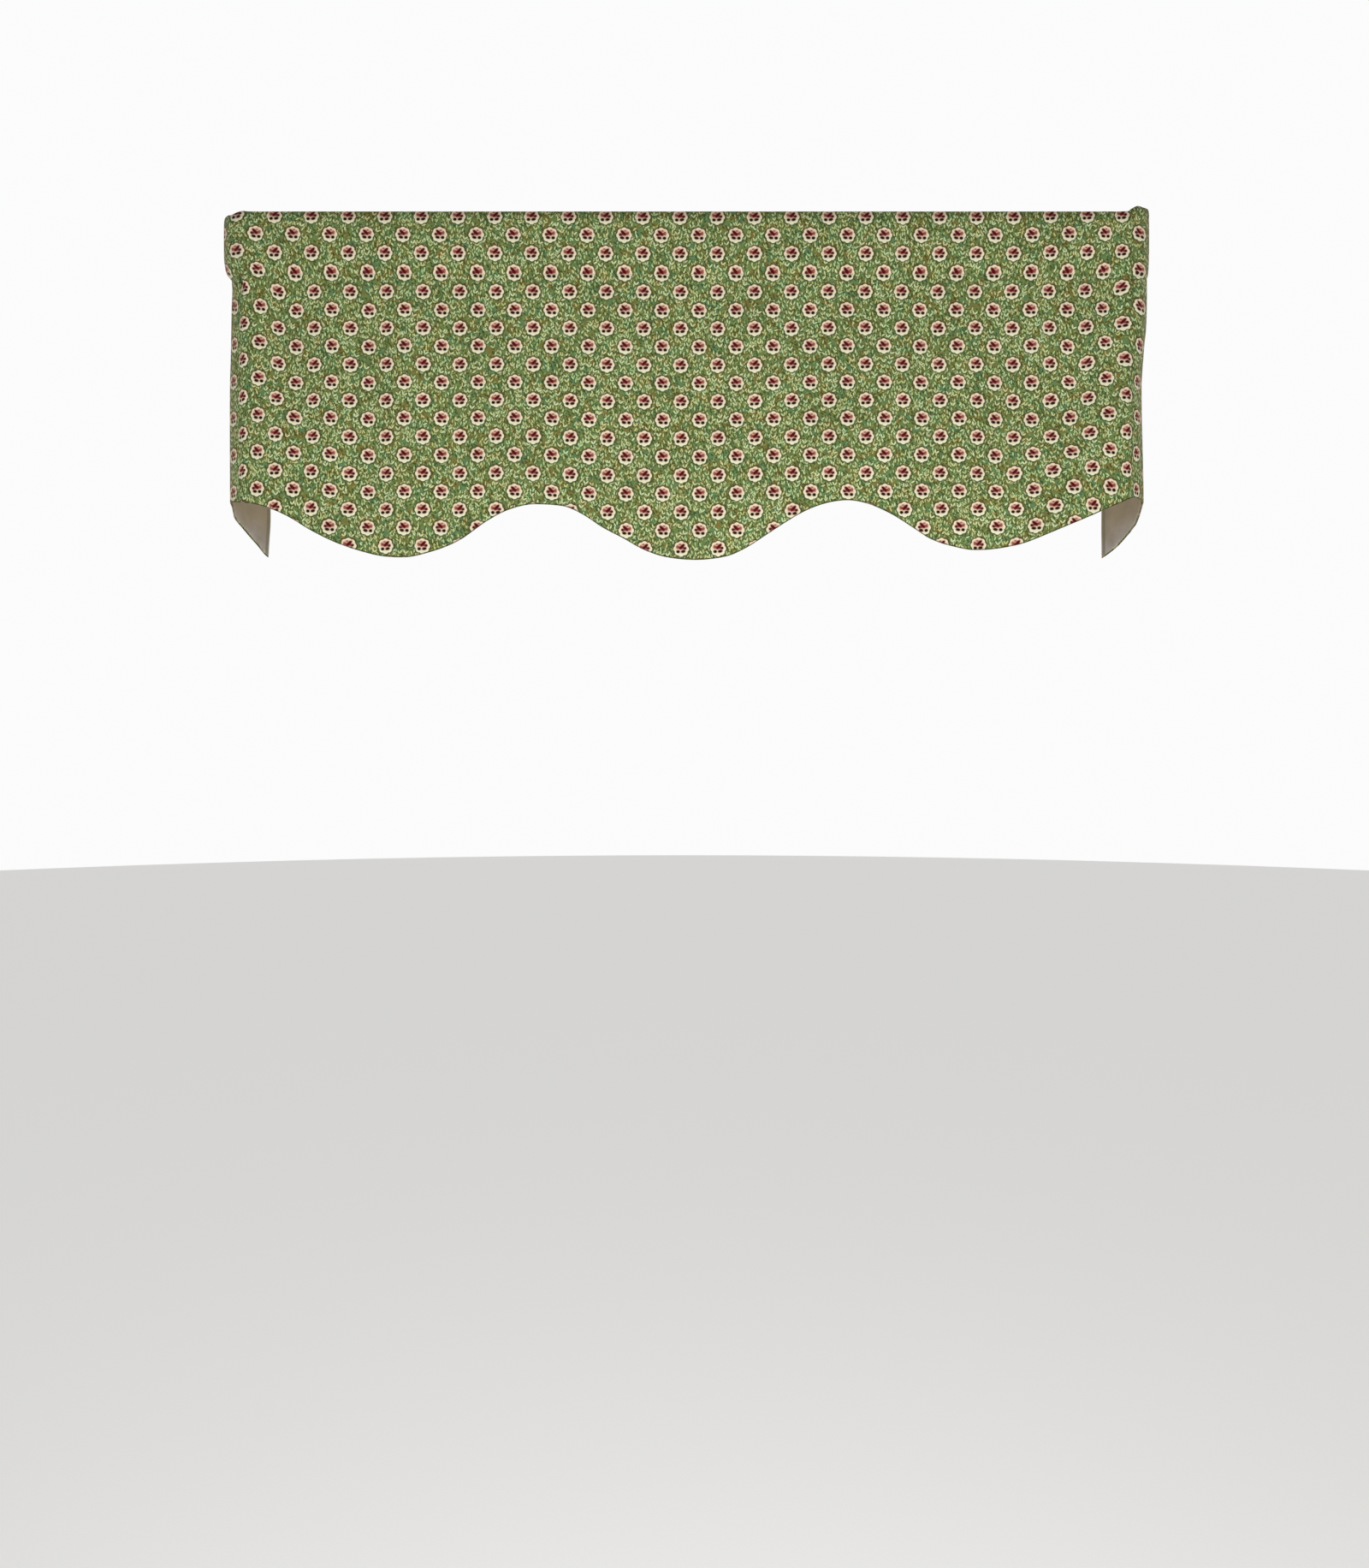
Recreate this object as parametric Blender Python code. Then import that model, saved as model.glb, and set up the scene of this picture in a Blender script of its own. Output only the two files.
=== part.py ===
"""A scalloped window valance: a printed face cloth with a rod pocket, and its plain lining.

Metres, +Z up. The front faces -Y, the wall is at +Y, and the origin is the middle of the top edge.
Both cloths are swept along one U-shaped plan line: the front, two rounded corners and two returns
that run back to the wall. A place on the cloth is given by
    along  the distance along the plan line, 0 at the middle and positive towards +X,
    down   the distance below the top edge,
    out    the distance outwards from the front of the hanging cloth, so the back of it is negative.
"""

import math

import bmesh
import bpy
import numpy as np

MM = 0.001  # the tables below are in millimetres

# --- driving dimensions -------------------------------------------------------------------------
HALF_WIDTH = 0.572  # from the middle to the outside of each return, below the pocket
RETURN_DEPTH = 0.114  # from the front of the cloth to the wall
CORNER_RADIUS = 0.017  # outside of each corner, seen from above
POCKET_HEIGHT = 0.076  # top edge to stitch line
POCKET_DEPTH = 0.015  # outside of the rod pocket, front to back
POCKET_BULGE_FRONT = 0.003  # how far the pocket stands out from the cloth below it, on the front
POCKET_BULGE_SIDE = 0.0076  # the same on the returns
FACE_THICKNESS = 0.0015
LINING_THICKNESS = 0.001
GAP = 0.00046  # between the two cloths
SEAM_ALLOWANCE = 0.004  # how far the pocket's turned edge reaches below the stitch line
LINING_TOP_GAP = 0.0006  # from the turned edge down to the lining's top
LINING_SET_UP = 0.002  # the lining ends this far above the face cloth's edge
HEM_ROUNDING = 0.0004  # how far the middle of the cut edge stands out
RETURN_LEAN = 0.009  # how far the lower back corner of each return swings inwards

# --- how finely the cloths are divided ----------------------------------------------------------
FRONT_STEPS = 43
CORNER_STEPS = 4
RETURN_STEPS = 7
BODY_ROWS = 13
POCKET_RIBS = 18

# --- plan line ----------------------------------------------------------------------------------
FRONT_HALF = HALF_WIDTH - CORNER_RADIUS
CORNER_END = FRONT_HALF + CORNER_RADIUS * math.pi / 2
CLOTH_END = CORNER_END + RETURN_DEPTH - CORNER_RADIUS
FRONT_Y = -FACE_THICKNESS  # the front of the hanging cloth, so that the top edge is at y = 0

# The pocket's section is a rounded box that is squarer at the top than at the stitch line.
POCKET_POWER_TOP = 4.0
POCKET_POWER_FOOT = 2.6

# --- the cloth's uneven shape, in millimetres ---------------------------------------------------
# (along, down) of the scalloped lower edge, from the left wall to the right one
HEM = [
    (-681, 405), (-664, 400.5), (-648, 394), (-630, 387), (-611, 382), (-596, 377), (-588, 371),
    (-581, 363.5), (-570, 360), (-560, 359), (-547, 361), (-534, 364), (-517, 371), (-496, 378),
    (-466, 395), (-436, 410), (-400, 422), (-371, 428), (-350, 429), (-320, 423), (-282, 408),
    (-244, 382), (-218, 369), (-186, 363), (-154, 365), (-129, 375), (-103, 392), (-78, 405),
    (-53, 419), (-27, 428), (11, 432), (49, 428), (75, 417), (100, 401), (126, 384), (151, 370),
    (177, 361), (202, 358), (228, 363), (253, 374), (279, 390), (304, 406), (330, 415), (360, 420),
    (387, 418), (420, 411), (441, 403), (470, 391), (501, 378), (528, 366), (543, 360), (562, 353),
    (570, 357), (577, 364), (586, 374), (598, 382), (616, 389), (641, 396), (660, 401.5), (681, 406.5),
]

# (along, lift) of the pocket's top edge, which peaks in a small dog-ear at the right corner
TOP_LIFT = [
    (-681, 0), (-584, -1), (-570, -1), (-552, 0), (540, 0), (552, 1.5), (560, 6), (567, 8.5),
    (576, 10), (584, 10.5), (600, 10), (630, 6), (681, 3),
]
EAR_PINCH = 0.1  # the share of its depth that the pocket loses at the peak of the dog-ear
EAR_PEAK = 10.5  # the lift at that peak

# (along, out) of the stitch line, which stands out at the right corner
SEAM_OUT = [(-681, 0), (545, 0), (584, 5), (681, 5)]

# (down, out) of each return below the pocket: they lean in and out of the plan line
LEFT_SIDE = [(84, -2.8), (90, -3.2), (107, -2.9), (141, -2.2), (175, -1.5), (210, -0.6), (244, -0.4),
             (346, -0.9), (400, -1.5)]
RIGHT_SIDE = [(83, 5.3), (107, 4.8), (124, 4.2), (141, 3.2), (158, 1), (175, -0.4), (192, -1.8),
              (210, -2.7), (244, -2.4), (278, -1.6), (312, -0.3), (346, 0.5), (364, 0), (400, -1)]

# Soft folds that run down the cloth, each a list of (down, along, reach, out): reach is the distance
# at which it has faded, and out is its height, which is negative in a trough.
FOLDS = {
    "left corner trough": [
        (82, -541, 30, -1), (100, -534, 36, -3.5), (162, -513, 40, -5), (236, -493, 44, -4.5),
        (300, -482, 46, -3), (360, -474, 46, -1),
    ],
    "left first ridge": [
        (84, -446, 36, 0), (130, -444, 40, 2.2), (240, -441, 42, 2.6), (400, -438, 46, 1.5),
    ],
    "left second trough": [
        (84, -396, 36, 0), (130, -395, 38, -2.4), (300, -394, 40, -2.6), (420, -390, 44, -1.2),
    ],
    "left second ridge": [
        (84, -347, 36, 0), (120, -347, 38, 1.5), (260, -346, 40, 1.2), (420, -346, 44, 0.4),
    ],
    "left third trough": [
        (90, -296, 36, 0), (160, -293, 42, -1.3), (300, -290, 42, -1.4), (400, -288, 42, -0.4),
    ],
    "middle trough": [(100, 131, 50, 0), (150, 128, 54, -1.2), (230, 86, 56, -1.2), (330, 80, 56, 0)],
    "right far trough": [(120, 296, 40, 0), (200, 296, 42, -1.6), (280, 296, 44, -0.8), (380, 298, 44, 0)],
    "right far ridge": [(84, 349, 34, 0), (120, 349, 36, 1.8), (300, 349, 38, 1.8), (400, 352, 40, 0.6)],
    "right spot": [(84, 410, 36, 0), (136, 407, 40, -2.8), (200, 402, 42, -0.8), (250, 398, 42, 0)],
    "right fan ridge": [
        (82, 500, 30, 0), (100, 492, 36, 3), (162, 476, 40, 3.4), (247, 449, 42, 3), (332, 412, 44, 1.4),
        (400, 385, 44, 0),
    ],
    "right corner trough": [
        (82, 541, 26, 0), (110, 534, 34, -4), (184, 527, 40, -5.4), (247, 500, 44, -5),
        (311, 462, 46, -3.6), (390, 425, 46, -1),
    ],
    "right corner foot": [(290, 549, 26, 0), (335, 546, 34, 1.8), (370, 544, 34, 1.6)],
}
FOLD_BEGIN = 16  # each fold rises over this distance above its first row

HANG_ROWS = (78, 92)  # from the stitch line's place to where the cloth hangs by itself
LEAN_ROWS = (76, 340)  # the returns swing in between these, more and more
LEAN_POWER = 1.3  # and this much faster than in a straight line, towards the wall

# (along, down, reach, out) of the small pinched tucks under the pocket's corners
TUCKS = [(-561, 86, 16, -3.6), (566, 84, 14, -1.5)]


# --- numbers to shapes --------------------------------------------------------------------------
def curve(points, at):
    """The height at `at` of a smooth line through (x, y) points, level beyond its ends.

    It turns only at its points, as its slopes are held to twice the smaller step beside them.
    """
    xs, ys = np.array(points, dtype=float).T
    steps = np.diff(ys) / np.diff(xs)
    before, after = steps[:-1], steps[1:]
    limit = 2 * np.minimum(abs(before), abs(after)) * (before * after > 0)
    slopes = [steps[0], *np.clip((before + after) / 2, -limit, limit), steps[-1]]
    at = min(max(at, xs[0]), xs[-1])
    i = min(max(int(np.searchsorted(xs, at)) - 1, 0), len(xs) - 2)
    span = xs[i + 1] - xs[i]
    f = (at - xs[i]) / span
    start = (1 + 2 * f) * (1 - f) ** 2 * ys[i] + f * (1 - f) ** 2 * span * slopes[i]
    end = f * f * (3 - 2 * f) * ys[i + 1] - f * f * (1 - f) * span * slopes[i + 1]
    return start + end


def ease(value, start, end):
    """0 before start, 1 after end, and a smooth rise in between."""
    f = min(max((value - start) / (end - start), 0.0), 1.0)
    return f * f * (3 - 2 * f)


def fade(distance, reach):
    """1 at the middle of a fold and 0 from its reach on."""
    return 0.5 + 0.5 * math.cos(math.pi * min(abs(distance) / reach, 1.0))


def plan(along):
    """The point and the outward direction of the plan line, seen from above."""
    side = math.copysign(1.0, along)
    distance = abs(along)
    if distance <= FRONT_HALF:
        return (along, FRONT_Y), (0.0, -1.0)
    if distance <= CORNER_END:
        turn = (distance - FRONT_HALF) / CORNER_RADIUS
        x = side * (FRONT_HALF + CORNER_RADIUS * math.sin(turn))
        y = FRONT_Y + CORNER_RADIUS * (1 - math.cos(turn))
        return (x, y), (side * math.sin(turn), -math.cos(turn))
    y = FRONT_Y + CORNER_RADIUS + distance - CORNER_END
    return (side * HALF_WIDTH, y), (side, 0.0)


def hem_drop(along):
    """How far the scalloped edge lies below the top edge."""
    return curve(HEM, along / MM) * MM


def side_share(along):
    """0 on the front and 1 on the returns, with a smooth change round the corner."""
    return ease(abs(along), FRONT_HALF - CORNER_RADIUS, CORNER_END)


def body_out(along, down):
    """How far the hanging cloth stands out from the plan line, in metres."""
    s, t = along / MM, down / MM
    out = 0.0
    for rows in FOLDS.values():
        centre, reach, height = (curve([(row[0], row[i]) for row in rows], t) for i in (1, 2, 3))
        begin = rows[0][0]
        out += height * ease(t, begin - FOLD_BEGIN, begin) * fade(s - centre, reach)
    for tuck_along, tuck_down, reach, height in TUCKS:
        out += height * fade(math.hypot(s - tuck_along, t - tuck_down), reach)
    out *= 1 - ease(abs(along), FRONT_HALF, CORNER_END)
    out += side_share(along) * curve(LEFT_SIDE if along < 0 else RIGHT_SIDE, t)
    hang = ease(t, *HANG_ROWS)
    back = max(abs(along) - CORNER_END, 0.0) / (CLOTH_END - CORNER_END)
    lean = RETURN_LEAN * back ** LEAN_POWER * ease(t, *LEAN_ROWS)
    return (out * hang + curve(SEAM_OUT, s) * (1 - hang)) * MM - lean


def place(along, down, out):
    """The point in space of a place on the cloth."""
    (x, y), (nx, ny) = plan(along)
    return (x + nx * out, y + ny * out, -down)


def pocket_halves(along):
    """How far the rod pocket reaches to the front and to the back of its stitch line."""
    share = side_share(along)
    bulge = POCKET_BULGE_FRONT * (1 - share) + POCKET_BULGE_SIDE * share
    front = bulge - curve(SEAM_OUT, along / MM) * MM + FACE_THICKNESS
    pinch = EAR_PINCH * ease(curve(TOP_LIFT, along / MM), 0, EAR_PEAK)
    return front, POCKET_DEPTH * (1 - pinch) - front


def pocket_point(along, turn, inset):
    """(down, out) on the rod pocket's section, or inset from it by the cloth's thickness.

    turn runs from 0 at the stitch line, up the front to pi at the top, and down the back to 2 pi.
    """
    seam, lift = curve(SEAM_OUT, along / MM) * MM, curve(TOP_LIFT, along / MM) * MM
    half_depth = pocket_halves(along)[turn > math.pi] - inset
    half_height = (POCKET_HEIGHT + lift) / 2 - inset
    across, upright = math.sin(turn), math.cos(turn)
    power = 2 / (POCKET_POWER_FOOT if upright > 0 else POCKET_POWER_TOP)
    down = (POCKET_HEIGHT - lift) / 2 + math.copysign(abs(upright) ** power * half_height, upright)
    out = math.copysign(abs(across) ** power * half_depth, across) - FACE_THICKNESS + seam
    return down, out


def pocket_turns(along):
    """The turns of the pocket's ribs, from where its front meets the stitch line to where its back does."""
    first, last = (
        math.asin((FACE_THICKNESS / half) ** (POCKET_POWER_FOOT / 2)) for half in pocket_halves(along)
    )
    half_ribs = POCKET_RIBS // 2
    front = np.linspace(first, math.pi, half_ribs + 1)
    back = np.linspace(math.pi, 2 * math.pi - last, half_ribs + 1)
    return [*front, *back[1:]]


def stations():
    """Places along the cloth from its left end to its right one, closest together round the corners."""
    front = np.linspace(-FRONT_HALF, FRONT_HALF, FRONT_STEPS + 1)
    corner = np.linspace(FRONT_HALF, CORNER_END, CORNER_STEPS + 1)[1:]
    back = np.linspace(CORNER_END, CLOTH_END, RETURN_STEPS + 1)[1:]
    right = [*corner, *back]
    return [-s for s in reversed(right)] + list(front) + right


def body_rows(top, bottom):
    """Heights of the rows from the lower edge up to the stitch line, closest together under it."""
    shares = (np.arange(BODY_ROWS, -1, -1) / BODY_ROWS) ** 1.3
    return [top + (bottom - top) * share for share in shares]


# --- cloths -------------------------------------------------------------------------------------
def sweep(mesh, rings):
    """Join the rings of points at each station into a closed band, and return its vertices.

    Every diagonal runs from an upper point to a lower one at the next station, on the front and the
    back alike, so that layers that lie close together have the same facets.
    """
    bands = [[mesh.verts.new(point) for point in ring] for ring in rings]
    for a, b in zip(bands, bands[1:]):
        for i in range(len(a)):
            j = (i + 1) % len(a)
            if a[j].co.z > a[i].co.z:
                mesh.faces.new((a[i], a[j], b[i]))
                mesh.faces.new((a[j], b[j], b[i]))
            else:
                mesh.faces.new((a[i], a[j], b[j]))
                mesh.faces.new((a[i], b[j], b[i]))
    return bands


def finish_object(name, mesh, material):
    """Turn a bmesh into an object with smooth folds and crisp cut edges."""
    bmesh.ops.recalc_face_normals(mesh, faces=mesh.faces)
    for face in mesh.faces:
        face.smooth = True
    for edge in mesh.edges:
        edge.smooth = edge.calc_face_angle(0.0) < math.radians(50)
    data = bpy.data.meshes.new(name)
    mesh.to_mesh(data)
    mesh.free()
    data.materials.append(material)
    piece = bpy.data.objects.new(name, data)
    bpy.context.collection.objects.link(piece)
    return piece


def face_rings(along):
    """The face cloth's section at one station: its outline and the rod pocket's hollow."""
    turn_down = POCKET_HEIGHT + SEAM_ALLOWANCE
    rows = body_rows(turn_down, hem_drop(along))
    turns = pocket_turns(along)
    front = [(down, body_out(along, down)) for down in rows]
    back = [(down, out - FACE_THICKNESS) for down, out in reversed(front)]
    pocket = [pocket_point(along, turn, 0.0) for turn in turns]
    turned_edge = (turn_down, curve(SEAM_OUT, along / MM) * MM - 2 * FACE_THICKNESS)
    hem = (rows[0] + HEM_ROUNDING, front[0][1] - FACE_THICKNESS / 2)
    outline = [*front, *pocket, turned_edge, *back, hem]
    hollow = [pocket_point(along, turn, FACE_THICKNESS) for turn in [0.0, *turns[1:-1]]]
    return [[place(along, *point) for point in ring] for ring in (outline, hollow)]


def close_face_end(mesh, outline, hollow):
    """Fill the cut end of the face cloth between its outline and the pocket's hollow."""
    rows, ribs = BODY_ROWS + 1, POCKET_RIBS + 1
    front, pocket = outline[:rows], outline[rows:rows + ribs]
    turned_edge, back, hem = outline[rows + ribs], outline[rows + ribs + 1:-1][::-1], outline[-1]
    mesh.faces.new((hem, front[0], back[0]))
    for i in range(BODY_ROWS):
        mesh.faces.new((front[i], front[i + 1], back[i + 1], back[i]))
    foot = hollow[0]
    mesh.faces.new((front[-1], pocket[0], foot, back[-1]))
    mesh.faces.new((back[-1], foot, pocket[-1], turned_edge))
    inside = [*hollow, foot]
    for i in range(POCKET_RIBS):
        mesh.faces.new((pocket[i], pocket[i + 1], inside[i + 1], inside[i]))


def build_face_cloth():
    """The printed cloth with its pocket, corners and returns, as one closed sheet."""
    mesh = bmesh.new()
    rings = [face_rings(along) for along in stations()]
    outlines = sweep(mesh, [ring[0] for ring in rings])
    hollows = sweep(mesh, [ring[1] for ring in rings])
    for end in (0, -1):
        close_face_end(mesh, outlines[end], hollows[end])
    return finish_object("face_cloth", mesh, cloth_material("printed_cotton", "#8B8F64"))


def part_way(start, end, distance, whole):
    """The points on the way from start to end, as far along as distance is to whole."""
    return tuple(a + (b - a) * distance / whole for a, b in zip(start, end))


def lining_ring(along):
    """The lining's section at one station, close behind the face cloth's own rows."""
    rows = body_rows(POCKET_HEIGHT + SEAM_ALLOWANCE, hem_drop(along))
    front = [(down, body_out(along, down) - FACE_THICKNESS - GAP) for down in rows]
    front[0] = part_way(front[0], front[1], LINING_SET_UP, rows[0] - rows[1])
    front[-1] = part_way(front[-1], front[-2], LINING_TOP_GAP, rows[-2] - rows[-1])
    back = [(down, out - LINING_THICKNESS) for down, out in reversed(front)]
    return [place(along, *point) for point in [*front, *back]]


def build_lining():
    """The plain cloth behind the face cloth, from the stitch line to the scalloped edge."""
    mesh = bmesh.new()
    rings = [lining_ring(along) for along in stations()]
    step = (CLOTH_END - CORNER_END) / RETURN_STEPS
    for end, inner in ((0, 1), (-1, -2)):
        rings[end] = [part_way(a, b, LINING_SET_UP, step) for a, b in zip(rings[end], rings[inner])]
    bands = sweep(mesh, rings)
    for ring in (bands[0], bands[-1]):
        back = ring[::-1]
        for i in range(BODY_ROWS):
            mesh.faces.new((ring[i], ring[i + 1], back[i + 1], back[i]))
    return finish_object("lining", mesh, cloth_material("plain_cotton", "#9C917E"))


# --- materials ----------------------------------------------------------------------------------
def linear(hex_colour):
    """An sRGB hex colour as the linear RGBA that a shader takes."""
    channels = [int(hex_colour[i:i + 2], 16) / 255 for i in (1, 3, 5)]
    return [c / 12.92 if c <= 0.04045 else ((c + 0.055) / 1.055) ** 2.4 for c in channels] + [1.0]


def cloth_material(name, hex_colour):
    """A matt woven cotton in one even colour."""
    material = bpy.data.materials.new(name)
    material.use_nodes = True
    shader = material.node_tree.nodes["Principled BSDF"]
    shader.inputs["Base Color"].default_value = linear(hex_colour)
    shader.inputs["Roughness"].default_value = 0.9
    shader.inputs["Metallic"].default_value = 0.0
    return material


def main():
    """Empty the scene and build both cloths."""
    for old in list(bpy.data.objects):
        bpy.data.objects.remove(old, do_unlink=True)
    build_face_cloth()
    build_lining()


main()
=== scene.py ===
"""The looks of a scalloped window valance: printed cotton with a rod pocket, and its plain lining.

Metres, +Z up. The front faces -Y, the wall is at +Y, and the origin is the middle of the top edge.
A place on the cloth is given by three distances:
    along  round the plan line from the middle, positive towards +X,
    down   below the top edge,
    out    outwards from the front of the hanging cloth, so the back of it is negative.
"""

import logging
import math
from collections.abc import Callable
from dataclasses import dataclass
from enum import Enum
from functools import partial

import bpy
import numpy as np
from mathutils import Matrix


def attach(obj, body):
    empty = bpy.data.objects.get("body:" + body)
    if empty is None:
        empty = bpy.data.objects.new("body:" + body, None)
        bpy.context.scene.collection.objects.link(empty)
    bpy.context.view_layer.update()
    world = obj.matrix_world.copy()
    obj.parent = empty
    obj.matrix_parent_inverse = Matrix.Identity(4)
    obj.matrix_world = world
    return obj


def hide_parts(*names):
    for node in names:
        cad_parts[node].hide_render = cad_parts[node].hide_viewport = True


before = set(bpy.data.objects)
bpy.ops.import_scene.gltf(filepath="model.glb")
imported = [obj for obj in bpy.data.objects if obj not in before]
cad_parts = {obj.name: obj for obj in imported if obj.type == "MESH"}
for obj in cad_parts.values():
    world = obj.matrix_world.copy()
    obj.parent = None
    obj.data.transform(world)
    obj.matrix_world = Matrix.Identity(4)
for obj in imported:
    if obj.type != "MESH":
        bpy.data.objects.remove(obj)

MM = 0.001
log = logging.getLogger("valance")

Array = np.ndarray
Rows = tuple[tuple[float, ...], ...]
Point = tuple[float, float, float]
Socket = bpy.types.NodeSocket
Adder = Callable[..., object]  # adds a node to one material


# --- numbers to shapes --------------------------------------------------------------------------
def ease(value: Array, start: float, end: float) -> Array:
    """0 before start, 1 after end, and a smooth rise in between."""
    share = np.clip((value - start) / (end - start), 0.0, 1.0)
    return share * share * (3 - 2 * share)


def fade(distance: Array, reach: Array) -> Array:
    """A soft hump: 1 in its middle, at no distance, and 0 from its reach on."""
    return 0.5 + 0.5 * np.cos(np.pi * np.minimum(np.abs(distance) / reach, 1.0))


def wander(at: Array, pitch: float, seed: int) -> Array:
    """An uneven wave, the same on every run.

    Args:
        at: places along it, in millimetres.
        pitch: the mean distance between its turns, in millimetres.
        seed: which of many such waves.

    Returns:
        heights between -1 and 1
    """
    turns = 2048
    heights = np.random.default_rng(seed).uniform(-1, 1, turns)
    place = at / pitch + turns // 2
    first = np.floor(place).astype(int)
    share = ease(place - first, 0, 1)
    return heights[first] * (1 - share) + heights[first + 1] * share


@dataclass(frozen=True)
class Line:
    """A smooth line through (x, y) points, level beyond its ends, that turns only at its points."""

    points: Rows

    def at(self, x: Array) -> Array:
        """The line's height.

        Args:
            x: where it is asked for.

        Returns:
            the height at each x
        """
        xs, ys = np.array(self.points, dtype=float).T
        steps = np.diff(ys) / np.diff(xs)
        before, after = steps[:-1], steps[1:]
        limit = 2 * np.minimum(abs(before), abs(after)) * (before * after > 0)
        slopes = np.array([steps[0], *np.clip((before + after) / 2, -limit, limit), steps[-1]])
        x = np.clip(x, xs[0], xs[-1])
        i = np.clip(np.searchsorted(xs, x) - 1, 0, len(xs) - 2)
        span = xs[i + 1] - xs[i]
        f = (x - xs[i]) / span
        start = (1 + 2 * f) * (1 - f) ** 2 * ys[i] + f * (1 - f) ** 2 * span * slopes[i]
        end = f * f * (3 - 2 * f) * ys[i + 1] - f * f * (1 - f) * span * slopes[i + 1]
        return start + end


@dataclass(frozen=True)
class Fold:
    """A soft fold that runs down the cloth.

    Each row is (down, along, reach, out) in millimetres: reach is the distance at which the fold has
    faded, and out is its height, which is negative in a trough.
    """

    rows: Rows
    begin: float = 16.0  # it rises over this distance above its first row

    def out(self, along: Array, down: Array) -> Array:
        """The fold's height.

        Args:
            along: places along the cloth, in millimetres.
            down: places below the top edge, in millimetres.

        Returns:
            how far it stands out, in millimetres
        """
        centre, reach, height = (
            Line(tuple((row[0], row[i]) for row in self.rows)).at(down) for i in (1, 2, 3)
        )
        first = self.rows[0][0]
        return height * ease(down, first - self.begin, first) * fade(along - centre, reach)


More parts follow.
